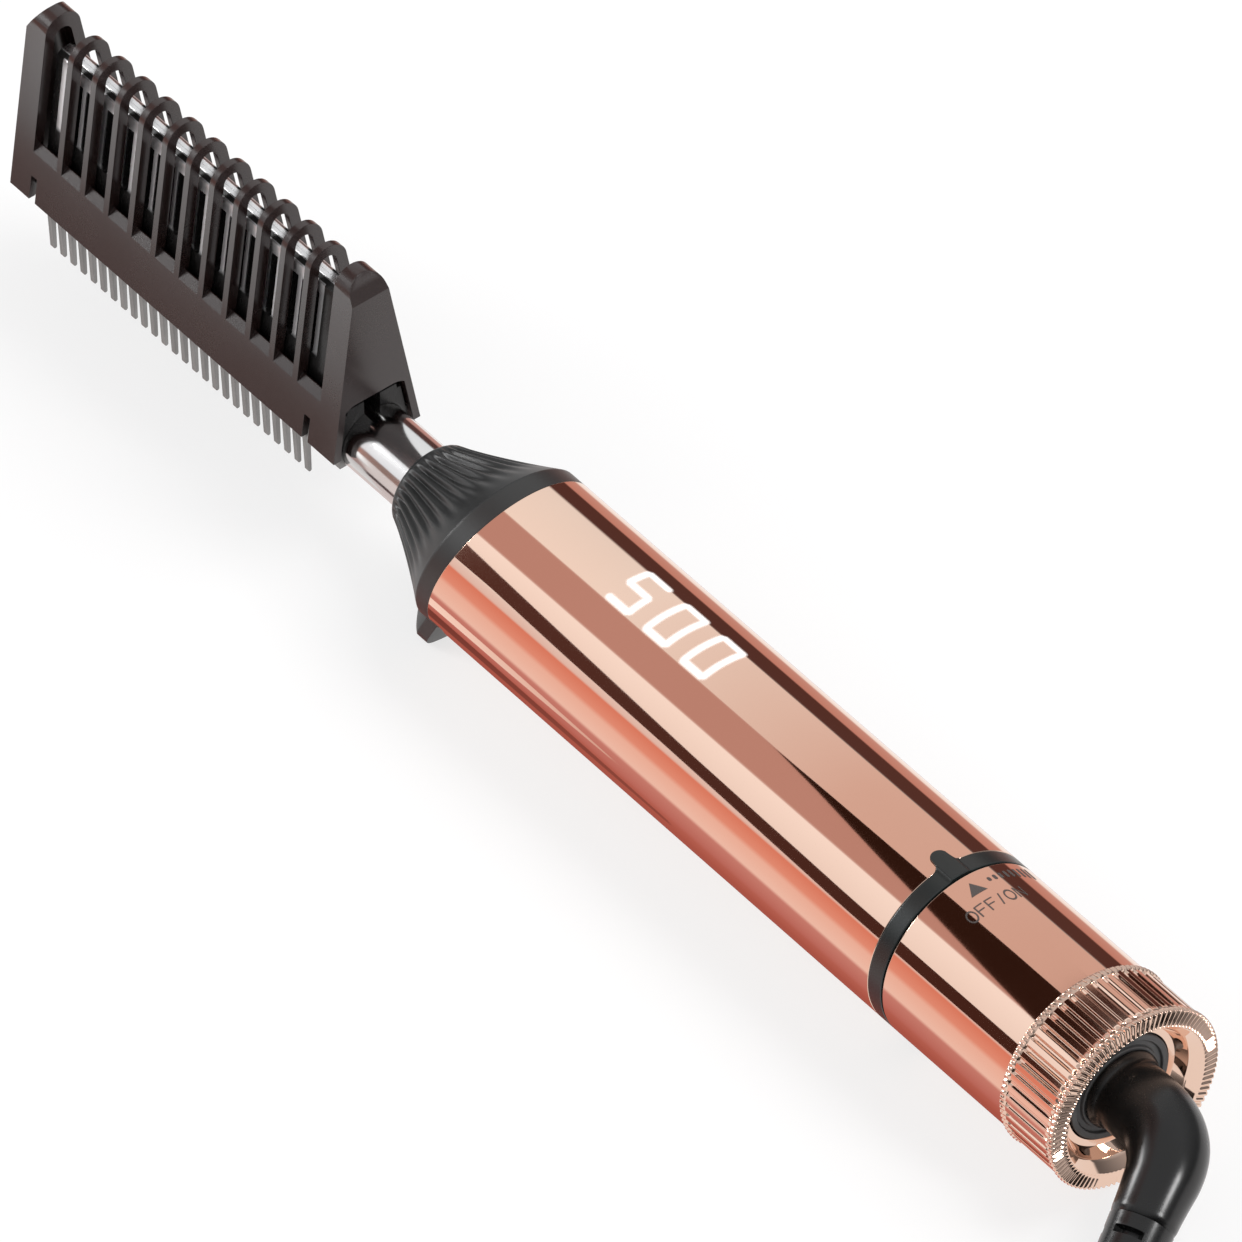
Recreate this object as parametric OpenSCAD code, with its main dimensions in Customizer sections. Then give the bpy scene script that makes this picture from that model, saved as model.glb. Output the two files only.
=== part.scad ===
// Electric hot comb with a slip-over comb guard, a rotary heat dial and a swivelling mains lead.
// The handle axis runs along X, from the comb at -X to the lead at +X. +Z is the back of the comb,
// and the teeth point down. The part rests on the collar's foot and on the rim of the end cap.

/* [Handle] */
// Outer radius of the barrel and of the dial sleeve
barrel_r = 16; // [14:0.5:18]
// Wall of the barrel and of the dial sleeve
barrel_wall = 1.5; // [1.2:0.1:2]
// Length of the front barrel, measured on the axis
barrel_len = 109.2; // [95:0.2:130]
// Length of the black index ring
ring_len = 3.2; // [2.4:0.2:5]
// Length of the turning dial sleeve
sleeve_len = 28.8; // [22:0.2:36]
// Length of the knurled end cap
cap_len = 12.8; // [10:0.2:18]
// How far the knurled band stands above the sleeve
cap_lift = 0.3; // [0.1:0.05:1]
// How far the two rims of the cap stand above the knurled band
cap_rim_lift = 0.3; // [0.1:0.05:0.6]
// Number of ribs round the cap
cap_ribs = 48; // [24:2:64]
// Half width of the grooves between the ribs
cap_groove_r = 0.42; // [0.25:0.01:0.5]

/* [Collar] */
// Length of the bell from its small end to the rim, on the axis
bell_len = 20.4; // [16:0.2:30]
// Radius of the bell at its small end
bell_r = 7.8; // [7.2:0.1:10]
// Slant of the rim from square to the axis, in degrees
rim_slant = 16; // [0:1:18]
// Number of flutes round the bell
flutes = 36; // [18:2:44]
// Depth of a flute
flute_depth = 0.8; // [0.3:0.05:1]
// Half width of the flat foot
foot_half_w = 12.6; // [10:0.2:14]
// Thickness of the foot along the handle
foot_len = 3; // [2.4:0.2:6]

/* [Neck] */
// Outer radius of the polished neck tube
neck_r = 6.2; // [5.4:0.1:6.8]
// Wall of the neck tube
neck_wall = 0.9; // [0.6:0.1:1.4]
// Length of neck that shows between the collar and the guard
neck_gap = 13.2; // [8:0.2:16]

/* [Guard] */
// Half width of the guard at its bottom edge
guard_half_w = 8.7; // [8.4:0.1:10]
// Inward lean of each side of the guard, in degrees
guard_lean = 9.2; // [6:0.1:10]
// Height of the guard's bottom edge above the handle axis
guard_bottom = -0.3; // [-1:0.1:0.5]
// Height of the centre of the rounded top above the axis
guard_top_z = 30.2; // [27:0.1:33]
// How far the two end panels stand above the ribs
panel_rise = 1.1; // [0.4:0.1:2]
// Length of each end panel
panel_len = 4.9; // [3.6:0.1:6.5]
// Height of the skirt, from the bottom edge to the outer edge of the sills
skirt_h = 9.3; // [7:0.1:11]
// Wall of the skirt
skirt_wall = 1.3; // [1:0.1:1.6]
// Number of ribs on the guard
rib_count = 11; // [7:1:13]
// Distance between the ribs
rib_pitch = 6.14; // [5:0.02:7]
// Thickness of a rib along the handle
rib_t = 1.3; // [0.9:0.1:2]
// Depth of a rib, square to the guard's side
rib_depth = 2; // [1.4:0.1:2.4]
// Length of the window next to each end panel
end_window = 6.0; // [5:0.1:8]
// Half width of the arch that the neck goes through
arch_half_w = 7.2; // [7:0.1:7.3]
// Height of that arch above the axis
arch_top = 10; // [8.5:0.1:12]

/* [Comb] */
// Gap between the guard's wall and the heated comb
comb_gap = 0.4; // [0.3:0.05:0.8]
// Number of teeth in each of the two rows
teeth = 26; // [18:1:28]
// Distance between the teeth
tooth_pitch = 2.664; // [2.4:0.002:3]
// Thickness of a tooth along the handle
tooth_t = 0.95; // [0.8:0.05:1.5]
// Depth of the tooth tips below the handle axis
tooth_tip = 10.4; // [8:0.1:13]
// Width of a tooth at its root, across the comb
tooth_root_w = 1.1; // [1:0.1:2]
// Width of a tooth at its tip
tooth_tip_w = 0.65; // [0.5:0.05:1]
// Height of the top of the comb's back above the axis
back_top = 28.4; // [26:0.1:29]
// Height above the axis where the slots between the upright fins start
fin_z = 14.2; // [14:0.1:17]

/* [Mains lead] */
// Diameter of the mains lead
cord_d = 6; // [5:0.1:6.4]
// Loops of the coiled lead
coil_turns = 8; // [4:4:12]
// Radius of the coil's outermost loop, at the middle of the lead
coil_r = 40; // [36:0.5:50]
// Distance between the middles of neighbouring loops, less the lead's diameter
coil_gap = 0.5; // [0.45:0.05:1.5]
// Radius of the elbow where it leaves the handle
elbow_r = 6.3; // [5.4:0.1:7]
// Radius of the elbow's leg at its far end
leg_end_r = 5.4; // [4.6:0.1:5.4]
// Length of the leg, from the elbow's corner
leg_len = 15; // [12:0.5:18]
// Distance from the end of the cap to the elbow's corner
corner_out = 10.6; // [9:0.2:16]
// Angle through which the elbow bends
elbow_bend = 67; // [55:1:80]
// Turn of the elbow about the handle, below level, at rest
elbow_dip = 25.3; // [20:0.1:30]
// Width of the plug's body
plug_w = 24; // [20:0.5:30]
// Thickness of the plug's body
plug_t = 14.8; // [12:0.2:18]
// Length of the plug's body
plug_len = 30; // [24:0.5:40]
// Distance between the two blades
blade_pitch = 12.7; // [11:0.1:14]

/* [Hidden] */
$fn = 64;

// Clearances
run_gap = 0.06;        // radial gap of the dial on its spindle
fit_gap = 0.05;        // gap between pieces that are fixed together
turn_gap = 0.3;        // gap between pieces that turn past each other
eps = 0.01;

// Stations along the handle, from the collar's rim
ring_x = barrel_len;
sleeve_x = ring_x + ring_len + turn_gap;
cap_x = sleeve_x + sleeve_len;
tail_x = cap_x + cap_len;
bell_x = -bell_len;
guard_near_x = bell_x - neck_gap;
window_run = 2 * end_window + (rib_count - 1) * rib_pitch + rib_t;
guard_len = window_run + 2 * panel_len;
guard_far_x = guard_near_x - guard_len;

// Whole handle: the part stands on z = 0, with its middle over the origin
cap_r = barrel_r + cap_lift;
rim_r = cap_r + cap_rim_lift;
axis_h = rim_r;
mid_x = (guard_far_x + tail_x) / 2;

// Radii inside the barrel
bore_r = barrel_r - barrel_wall;
inner_r = bore_r - fit_gap;
dial_room = 5.95;       // from the spindle to the barrel's inner wall, for hub, track and spring
spindle_wall = 1.6;
spindle_r = inner_r - dial_room;
spindle_bore_r = spindle_r - spindle_wall;

module on_handle() { translate([-mid_x, 0, axis_h]) children(); }

// A cylinder or a ring along the handle
module rod(x, len, r) { translate([x, 0, 0]) rotate([0, 90, 0]) cylinder(h = len, r = r); }
module tube(x, len, ro, ri) {
  difference() {
    rod(x, len, ro);
    rod(x - 1, len + 2, ri);
  }
}
module rod_at(x, len, r, y, z) { translate([0, y, z]) rod(x, len, r); }

// A flat shape drawn as (Y, Z) and run along the handle
module along(x, len) { translate([x, 0, 0]) rotate([90, 0, 90]) linear_extrude(len) children(); }

// ---- Guard ----
lean_s = tan(guard_lean);
function side_y(z, half_w, z0) = half_w - lean_s * (z - z0);

// A-shaped outline with a rounded top, inset by d from the guard's outer surface
module a_shape(d, rise = 0) {
  zc = guard_top_z + rise;
  hw = guard_half_w - d / cos(guard_lean);
  r = side_y(zc, hw, guard_bottom) * cos(guard_lean);
  polygon([[-hw, guard_bottom], [hw, guard_bottom],
           [r * cos(guard_lean), zc + r * sin(guard_lean)],
           [-r * cos(guard_lean), zc + r * sin(guard_lean)]]);
  translate([0, zc]) circle(r);
}

// Skirt wall on both sides, with a sill that slopes outwards
module skirt_shape() {
  sill_rise = skirt_wall;
  intersection() {
    difference() {
      a_shape(0);
      translate([0, -eps]) a_shape(skirt_wall);
    }
    for (s = [-1, 1])
      scale_y(s) polygon([[0, guard_bottom], [guard_half_w + 1, guard_bottom],
                          [side_y(guard_bottom + skirt_h, guard_half_w, guard_bottom) + eps,
                           guard_bottom + skirt_h],
                          [side_y(guard_bottom + skirt_h, guard_half_w, guard_bottom) - skirt_wall,
                           guard_bottom + skirt_h + sill_rise],
                          [0, guard_bottom + skirt_h + sill_rise]]);
  }
}
module scale_y(s) { if (s > 0) children(); else mirror([1, 0]) children(); }

module arch_shape(half_w, top) {
  r = 3.6;
  translate([-half_w, guard_bottom - 1]) square([2 * half_w, top - r - guard_bottom + 1]);
  translate([-half_w + r, guard_bottom]) square([2 * (half_w - r), top - guard_bottom]);
  for (s = [-1, 1]) translate([s * (half_w - r), top - r]) circle(r);
}

rib_x0 = guard_far_x + panel_len + end_window;
rib_foot_z = guard_bottom + skirt_h - 1;
slot_w = 1.5;
slot_h = 4.7;
near_slot_x = guard_near_x - panel_len - 3.4;
far_slot_x = guard_far_x + panel_len + 0.1;

module comb_guard() {
  color([0.13, 0.11, 0.11]) on_handle() difference() {
    union() {
      along(guard_far_x, guard_len) skirt_shape();
      for (i = [0 : rib_count - 1])
        along(rib_x0 + i * rib_pitch, rib_t) difference() {
          a_shape(0);
          a_shape(rib_depth);
          translate([-2 * guard_half_w, rib_foot_z - 100]) square([4 * guard_half_w, 100]);
        }
      near_panel();
      far_panel();
    }
    for (x = [near_slot_x, far_slot_x])
      translate([x, -guard_half_w - 1, guard_bottom - 1])
        cube([slot_w, 2 * guard_half_w + 2, slot_h + 1]);
  }
}

// Both end panels are bevelled at the top of their outer faces, and the near one has the neck's arch
bevel_h = 3.2;
bevel_l = 2.2;
module near_panel() {
  x0 = guard_near_x - panel_len;
  difference() {
    along(x0, panel_len) a_shape(0, panel_rise);
    along(x0 - 1, panel_len + 2) arch_shape(arch_half_w, arch_top);
    along(x0 - 1, panel_len - skirt_wall + 1) a_shape(rib_depth, 0);
    translate([guard_near_x, 0, 0]) top_bevel();
  }
}
module top_bevel() {
  top = guard_top_z + panel_rise + 4;
  translate([0, 0, top]) rotate([90, 0, 0])
    linear_extrude(4 * guard_half_w, center = true)
      polygon([[eps, 1], [-bevel_l - 1.6, 1], [-bevel_l, -0.6], [0, -bevel_h - 1.2], [eps, -bevel_h - 1.2]]);
}

// The far panel is closed, with a shallow arch let into its inner face
module far_panel() {
  difference() {
    along(guard_far_x, panel_len) a_shape(0, panel_rise);
    along(guard_far_x + panel_len - 2.4, 3) a_shape(rib_depth, 0);
    translate([guard_far_x, 0, 0]) mirror([1, 0, 0]) top_bevel();
  }
}

// ---- Heated comb ----
comb_half_w = guard_half_w - skirt_wall / cos(guard_lean) - comb_gap;
body_half_w = guard_half_w - rib_depth / cos(guard_lean) - comb_gap;
base_top = rib_foot_z - comb_gap;
// Half width of the wide base, inside the skirt, and of the body above it, inside the ribs
function comb_y(z) = side_y(z, comb_half_w, guard_bottom);
function body_y(z) = side_y(z, body_half_w, guard_bottom);
teeth_run = (teeth - 1) * tooth_pitch + tooth_t;
first_tooth_x = guard_far_x + panel_len + 2.3;
comb_x = guard_far_x + panel_len + 0.5;
block_x = first_tooth_x + teeth_run + 0.65;
block_end = guard_near_x - 0.9;
comb_floor = 1.6;
back_chamfer = 0.9;
pocket_half_w = 2.1;
pocket_z = 6.9;
pocket_h = 6;
screw_z = 5.2;
screw_r = 1.2;
screw_xs = [comb_x + 8, (comb_x + block_x) / 2, block_x - 6];

// Half section of the casting, from the split line outwards
module comb_section() {
  polygon([[split, comb_floor], [comb_y(comb_floor), comb_floor],
           [comb_y(base_top), base_top], [body_y(base_top), base_top],
           [body_y(back_top - back_chamfer), back_top - back_chamfer],
           [body_y(back_top) - back_chamfer, back_top], [split, back_top]]);
}
split = 0.02;

// One tooth: straight sides, a round tip
module tooth_shape() {
  r = tooth_tip_w / 2;
  root_y = comb_y(0) - 0.05;
  tip_y = root_y - 0.3 - r;
  polygon([[root_y - tooth_root_w, comb_floor + 1], [root_y, comb_floor + 1],
           [root_y, guard_bottom], [tip_y + r, -tooth_tip + r], [tip_y - r, -tooth_tip + r]]);
  translate([tip_y, -tooth_tip + r]) circle(r);
}

module comb_half() {
  difference() {
    union() {
      along(comb_x, block_end - comb_x) comb_section();
      for (i = [0 : teeth - 1])
        along(first_tooth_x + i * tooth_pitch, tooth_t) tooth_shape();
      // end block that grips the neck
      translate([block_x, split, -3]) cube([block_end - block_x, arch_half_w - 0.35 - split, comb_floor + 4]);
    }
    // pocket for the heater
    translate([comb_x - 1, -1, pocket_z]) cube([block_x - comb_x - 3, pocket_half_w + 1, pocket_h]);
    // lead channel from the pocket to the neck
    translate([block_x - 6, -1, -1.2]) cube([block_end - block_x + 12, 2.6, pocket_z + 6]);
    // seat of the neck tube
    rod(block_x + 1.5, 40, neck_r + fit_gap);
    // end block and near panel: room under the arch
    translate([guard_near_x - panel_len - 0.4, 0, 8.6]) cube([panel_len + 2, 20, 40]);
    for (i = [0 : teeth - 1]) fin_slot(first_tooth_x + tooth_t + i * tooth_pitch);
    for (x = screw_xs) translate([x, 0, screw_z]) rotate([-90, 0, 0]) screw_hole();
  }
}
// Slot between two fins: open from side to side, with a round lower end
back_bar = 3;
module fin_slot(x) {
  w = tooth_pitch - tooth_t;
  if (x + w < block_x) translate([x + w / 2, -1, fin_z]) {
    rotate([-90, 0, 0]) cylinder(h = comb_half_w + 1, r = w / 2, $fn = 16);
    translate([-w / 2, 0, 0]) cube([w, comb_half_w + 1, back_top - back_bar - fin_z]);
  }
}
module screw_hole() {
  translate([0, 0, -1]) cylinder(h = 20, r = screw_r + fit_gap);
  translate([0, 0, comb_y(screw_z) - 1.3]) cylinder(h = 5, r = 2.2 + fit_gap);
}

module comb_half_far() { color([0.55, 0.55, 0.56]) on_handle() comb_half(); }
module comb_half_near() { color([0.55, 0.55, 0.56]) on_handle() mirror([0, 1, 0]) comb_half(); }

module comb_screws() {
  reach = comb_y(screw_z) - 1.3;
  color("silver") on_handle() for (x = screw_xs) translate([x, 0, screw_z]) rotate([90, 0, 0]) {
    translate([0, 0, -reach]) cylinder(h = 2 * reach, r = screw_r);
    difference() {
      translate([0, 0, reach]) cylinder(h = 1.1, r = 2.2);
      translate([0, 0, reach + 0.5]) cylinder(h = 1, r = 1.1, $fn = 6);
    }
    translate([0, 0, -reach - 1.1]) cylinder(h = 1.1, r = 2.2, $fn = 6);
  }
}

// ---- Heater ----
ins_t = 0.25;
ins_over = 1;           // how far the film reaches past the heater's ends
heater_x = comb_x + 6;
heater_room = 16;       // for the sensor in front of the heater and the fuse behind it
heater_len = block_x - comb_x - heater_room;
heater_z = pocket_z + 0.6;
heater_h = pocket_h - 1.2;
module ptc_heater() {
  n = 3;
  gap = 0.6;
  stone = (heater_len - (n - 1) * gap) / n;
  half = pocket_half_w - fit_gap - ins_t;
  color([0.25, 0.25, 0.27]) on_handle() for (i = [0 : n - 1])
    translate([heater_x + i * (stone + gap), -half + 0.5, heater_z]) cube([stone, 2 * half - 1, heater_h]);
  color("gainsboro") on_handle() for (s = [0, 1])
    translate([heater_x, s == 0 ? -half : half - 0.5, heater_z]) cube([heater_len, 0.5, heater_h]);
}
module heater_insulation() {
  half = pocket_half_w - fit_gap;
  color([0.75, 0.5, 0.15]) on_handle() difference() {
    translate([heater_x - ins_over, -half, heater_z - ins_t])
      cube([heater_len + 2 * ins_over, 2 * half, heater_h + 2 * ins_t]);
    translate([heater_x - 2 * ins_over, -half + ins_t, heater_z])
      cube([heater_len + 4 * ins_over, 2 * (half - ins_t), heater_h]);
  }
}
module thermistor() {
  x = heater_x - 3.6;
  color("black") on_handle() translate([x, 0, pocket_z + 1.9]) {
    sphere(1.3);
    rotate([0, 90, 0]) cylinder(h = 3.3, r = 0.5);
    translate([0, 0, -1.9]) cylinder(h = 1.9, r = 0.9);
  }
}
module thermal_fuse() {
  len = 6;
  x = heater_x + heater_len + ins_over + 0.1;
  color("lightgrey") on_handle() {
    rod_at(x, len, 1.4, 0, pocket_z + 1.5);
    rod_at(x + len - eps, 1.2, 0.5, 0, pocket_z + 1.5);
  }
}
lead_r = 0.8;
lead_y = 0.85;
lead_z = 2;
module heater_leads() {
  x0 = block_x - 5;
  color([0.85, 0.2, 0.15]) on_handle() for (s = [-1, 1]) {
    rod_at(x0, board_x - fit_gap - x0, 0.6, s * lead_y, lead_z);
    translate([block_x - 4, s * lead_y, lead_z]) cylinder(h = pocket_z + 0.05 - lead_z, r = 0.6);
  }
}

// ---- Neck and collar ----
neck_in = 12;
module neck_tube() {
  color([0.8, 0.52, 0.42]) on_handle() tube(block_x + 1.5, neck_in - block_x - 1.5, neck_r, neck_r - neck_wall);
}
bush_x = bell_x + 9;    // step in the collar that the bush sits against
bush_r = neck_r + 1.6;
module neck_bush() {
  color("ivory") on_handle() {
    tube(bush_x, neck_in - 2 - bush_x, bush_r, neck_r + fit_gap);
    tube(neck_in - 4, 2, inner_r - 2, neck_r + fit_gap);
  }
}

// Bell surface: s runs from the small end to the rim, a is the angle from +Y towards +Z
rim_s = 0.85;
bell_power = 1.15;
round_s = 0.05;
lip_drop = 1.2;  // rounding of the small end
per_flute = 4;
function rim_x(a) = barrel_r * tan(rim_slant) * sin(a);
function ease(t) = let(c = min(1, max(0, t))) c * c * (3 - 2 * c);
function bell_radius(s) =
  bell_r + (barrel_r - bell_r) * pow(min(1, s / rim_s), bell_power)
  - lip_drop * pow(max(0, 1 - s / round_s), 2);
function flute_cut(s, a) =
  flute_depth * ease((s - 0.03) / 0.1) * ease((0.8 - s) / 0.2) * (0.5 - 0.5 * cos(flutes * a));
function bell_point(s, a) =
  let(x = bell_x + s * (rim_x(a) - bell_x), r = bell_radius(s) - flute_cut(s, a))
  [x, r * cos(a), r * sin(a)];
bell_steps = [0, 0.02, 0.05, 0.1, 0.2, 0.3, 0.4, 0.5, 0.6, 0.68, 0.76, 0.82, rim_s, 1];

module bell() {
  n = flutes * per_flute;
  m = len(bell_steps);
  pts = concat(
    [for (s = bell_steps) for (i = [0 : n - 1]) bell_point(s, 360 * i / n)],
    [[bell_x, 0, 0], [0, 0, 0]]);
  sides = [for (j = [0 : m - 2]) for (i = [0 : n - 1]) for (k = [0, 1])
    let(a = j * n + i, b = j * n + (i + 1) % n)
    k == 0 ? [a, a + n, b] : [b, a + n, b + n]];
  small_end = [for (i = [0 : n - 1]) [m * n, i, (i + 1) % n]];
  rim_end = [for (i = [0 : n - 1]) [m * n + 1, (m - 1) * n + (i + 1) % n, (m - 1) * n + i]];
  polyhedron(points = pts, faces = concat(sides, small_end, rim_end));
}

// Foot: a plate below the bell with a flat edge level with the cap's rim
module foot_shape() {
  r = 2;
  polygon([[-foot_half_w, -axis_h + r], [-foot_half_w + r, -axis_h],
           [foot_half_w - r, -axis_h], [foot_half_w, -axis_h + r],
           [barrel_r * cos(38), -barrel_r * sin(38)], [-barrel_r * cos(38), -barrel_r * sin(38)]]);
}
foot_x = -barrel_r * tan(rim_slant) - foot_len;
spigot_len = 8;
module collar() {
  color([0.12, 0.12, 0.12]) on_handle() difference() {
    union() {
      bell();
      difference() {
        along(foot_x, foot_len) foot_shape();
        rod(-60, 120, neck_r + 4);
      }
      rod(-barrel_r * tan(rim_slant), spigot_len + barrel_r * tan(rim_slant), inner_r);
    }
    rod(bell_x - 1, bell_len + 60, neck_r + fit_gap);
    rod(bush_x - fit_gap, 80, bush_r + fit_gap);
    rod(3, 20, inner_r - 1.6);
  }
}

// ---- Barrel ----
nub_r = 1.5;
nub_out = 3.4;
module barrel_front() {
  color([0.85, 0.6, 0.5]) on_handle() difference() {
    tube(-barrel_r, barrel_len + barrel_r, barrel_r, bore_r);
    rotate([0, rim_slant, 0]) translate([-50 + fit_gap, -50, -50]) cube([50, 100, 100]);
    nub_cut(fit_gap);
  }
}
// The index nub is a round-ended tab let into the barrel's end
module nub_cut(g) {
  translate([barrel_len - nub_out + nub_r, 0, bore_r - 2]) {
    cylinder(h = 6, r = nub_r + g);
    translate([0, -nub_r - g, 0]) cube([nub_out, 2 * (nub_r + g), 6]);
  }
}
module index_ring() {
  color([0.08, 0.08, 0.09]) on_handle() {
    difference() {
      union() {
        tube(ring_x, ring_len, barrel_r, inner_r - 1.9);
        tube(ring_x - 5, 5 + eps, inner_r, inner_r - 1.9);
        intersection() {
          nub_cut(0);
          tube(ring_x - nub_out - 1, nub_out + 2, barrel_r + 0.35, inner_r - 1);
        }
      }
    }
  }
}

// ---- Works inside the front barrel ----
chassis_x = neck_in + 1;
chassis_end = ring_x - 5.2;
board_z = 2;
board_t = 1.6;
rail_end = inner_r - 1.05;  // outer side of the chassis rails
rail_hold = 0.9;            // how far the board reaches into its groove
board_x = chassis_x + 4;
board_len = chassis_end - 4 - board_x;
board_half_w = rail_end - 1.4;
rail_in = board_half_w - rail_hold;
module chassis() {
  color([0.3, 0.3, 0.32]) on_handle() difference() {
    union() {
      rod(chassis_x, 3, inner_r);
      rod(chassis_end - 3, 3, inner_r);
      for (s = [-1, 1])
        translate([chassis_x + 2, s > 0 ? rail_in : -rail_end, board_z - 2])
          cube([chassis_end - chassis_x - 4, rail_end - rail_in, board_t + 4]);
    }
    translate([board_x - fit_gap, -board_half_w - fit_gap, board_z - fit_gap])
      cube([board_len + 2 * fit_gap, 2 * (board_half_w + fit_gap), board_t + 2 * fit_gap]);
    rod_at(chassis_x - 1, 5, 3, 0, 2);
    rod(chassis_end - 4, 5, spindle_bore_r - 2);
  }
}
module main_board() {
  color([0.05, 0.3, 0.15]) on_handle()
    translate([board_x, -board_half_w, board_z]) cube([board_len, 2 * board_half_w, board_t]);
}
display_x = 28.6;
display_len = 25.4;
display_w = 10.6;
display_top = bore_r - 2.2;
digit_h = 8.4;
digit_w = 5.2;
digit_step = 7.9;
module display_module() {
  z = board_z + board_t;
  color("white") on_handle() difference() {
    translate([display_x, -display_w / 2, z]) cube([display_len, display_w, display_top - z]);
    for (i = [0 : 2])
      translate([display_x + 2.2 + i * digit_step, 0, display_top - 0.4]) seven_segment();
  }
}
// Seven shallow segments of one digit, with its top towards +Y
module seven_segment() {
  t = 0.9;
  h = digit_h / 2 - 0.3;
  for (y = [-digit_h / 2, -t / 2, digit_h / 2 - t]) translate([t, y, 0]) cube([digit_w - 2 * t, t, 1]);
  for (x = [0, digit_w - t]) for (y = [-h + 0.1, 0.5]) translate([x, y, 0]) cube([t, h - 0.6, 1]);
}
// Relay, capacitor and driver on top of the board, transformer and filter below it
module power_parts() {
  zt = board_z + board_t;
  x = board_x + 0.54 * board_len;
  half = 0.75 * board_half_w;
  tall = bore_r / 2 - 0.25;
  color("navy") on_handle() {
    translate([x, -half, zt]) cube([16, half, tall]);
    translate([x + 22, half / 2, zt]) cylinder(h = tall, r = 3.4);
    translate([x, half / 3, zt]) cube([12, half * 2 / 3, tall - 2]);
    translate([display_x + 1.4, 1 - half, board_z - tall - 1]) cube([18, 2 * half - 2, tall + 1]);
    translate([x - 2, -half / 2, board_z - tall - 2]) cube([10, half, tall + 2]);
  }
}

// ---- Dial bearing and swivel socket, fixed to the chassis ----
socket_x = tail_x - 8.2;       // seat of the swivel's retained flange
disc_x = tail_x - 5.2;
disc_t = 1.5;
disc_r = inner_r - 4.85;
stem_r = 4.6;
slip_ring_r = 2.6;
module spindle() {
  color([0.2, 0.2, 0.22]) on_handle() {
    difference() {
      union() {
        rod(chassis_end, disc_x - chassis_end, spindle_r);
        rod(chassis_end, 2.5, inner_r - 2.2);
      }
      rod(chassis_end - 1, 200, spindle_bore_r);
    }
  }
}
module end_disc() {
  color([0.3, 0.3, 0.3]) on_handle() tube(disc_x, disc_t, disc_r, stem_r + run_gap);
}
carrier_x = chassis_end + 14;
carrier_len = 7;
module contact_carrier() {
  color("ivory") on_handle() difference() {
    rod(carrier_x, carrier_len, spindle_bore_r - fit_gap);
    for (s = [-1, 1]) rod_at(carrier_x - 1, carrier_len + 2, lead_r + fit_gap, s * 4, 0);
    rod(carrier_x + 2, 10, 2.2);
  }
}
spring_z = 3.4;
module contact_springs() {
  x = carrier_x + carrier_len;
  color("gold") on_handle() {
    for (s = [-1, 1]) translate([x, s * spring_z - 0.3, -1.2]) cube([9, 0.6, 2.4]);
    for (s = [-1, 1]) rod_at(x - 2, 2 + eps, lead_r, s * 4, 0);
  }
}
module supply_leads() {
  color([0.2, 0.3, 0.8]) on_handle() for (s = [-1, 1])
    rod_at(board_x + board_len - 6, carrier_x + carrier_len - 2 - (board_x + board_len - 6), lead_r, s * 4, 0);
}
track_x = ring_x + 0.4;
track_t = 1.2;
track_ro = inner_r - 2;
module track_board() {
  color([0.1, 0.35, 0.2]) on_handle() tube(track_x, track_t, track_ro, spindle_r + fit_gap);
}
detent_r = inner_r - 2.85;
module detent_spring() {
  x = track_x + track_t;
  color("silver") on_handle() rotate([150, 0, 0]) {
    intersection() {
      tube(x, 0.35, detent_r + 0.6, detent_r - 0.6);
      translate([0, 0, 4]) cube([400, 14, 14], center = false);
    }
    rod_at(x, 0.9, 0.6, 0, detent_r);
  }
}

// ---- Turning dial ----
module dial_sleeve() {
  color([0.87, 0.62, 0.52]) on_handle() tube(sleeve_x, sleeve_len, barrel_r, bore_r);
}
hub_x = sleeve_x + 0.6;
hub_end = disc_x - 0.9;
web = 3;
module dial_hub() {
  color([0.25, 0.25, 0.27]) on_handle() {
    tube(hub_x, hub_end - hub_x, inner_r, inner_r - 1.5);
    difference() {
      tube(hub_x, web, inner_r - 1, spindle_r + run_gap);
      for (a = [0 : 15 : 270]) rotate([150 + a, 0, 0]) rod_at(hub_x - 1, 1.5, 0.8, 0, detent_r);
    }
    tube(hub_end - web, web, inner_r - 1, spindle_r + run_gap);
  }
}
module wiper_ring() {
  color("goldenrod") on_handle() difference() {
    tube(hub_x - 0.35, 0.35, detent_r - 1, spindle_r + 0.7);
    rotate([40, 0, 0]) translate([0, 0, 8]) cube([400, 12, 12], center = false);
  }
}

recess_r = inner_r - 1.05;   // mouth and floor of the cap's rear recess
floor_r = inner_r - 3.45;
module knurled_cap() {
  color([0.87, 0.62, 0.52]) on_handle() difference() {
    union() {
      rod(cap_x, 1.1, rim_r);
      rod(tail_x - 1.1, 1.1, rim_r);
      difference() {
        rod(cap_x, cap_len, cap_r);
        for (i = [0 : cap_ribs - 1]) rotate([i * 360 / cap_ribs, 0, 0])
          rod_at(cap_x + 1.1, cap_len - 2.2, cap_groove_r, 0, cap_r + 0.05);
      }
    }
    rod(cap_x - 1, disc_x - cap_x + 0.4, bore_r);
    rod(cap_x, cap_len + 2, disc_r + turn_gap);
    translate([disc_x + 1.2, 0, 0]) rotate([0, 90, 0])
      cylinder(h = tail_x - disc_x - 1.2 + eps, r1 = floor_r, r2 = recess_r);
  }
}

// ---- Swivel elbow ----
corner_x = tail_x + corner_out;
root_x = disc_x + disc_t + turn_gap;
flange_t = 1.8;
corner_swell = 0.15;

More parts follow.
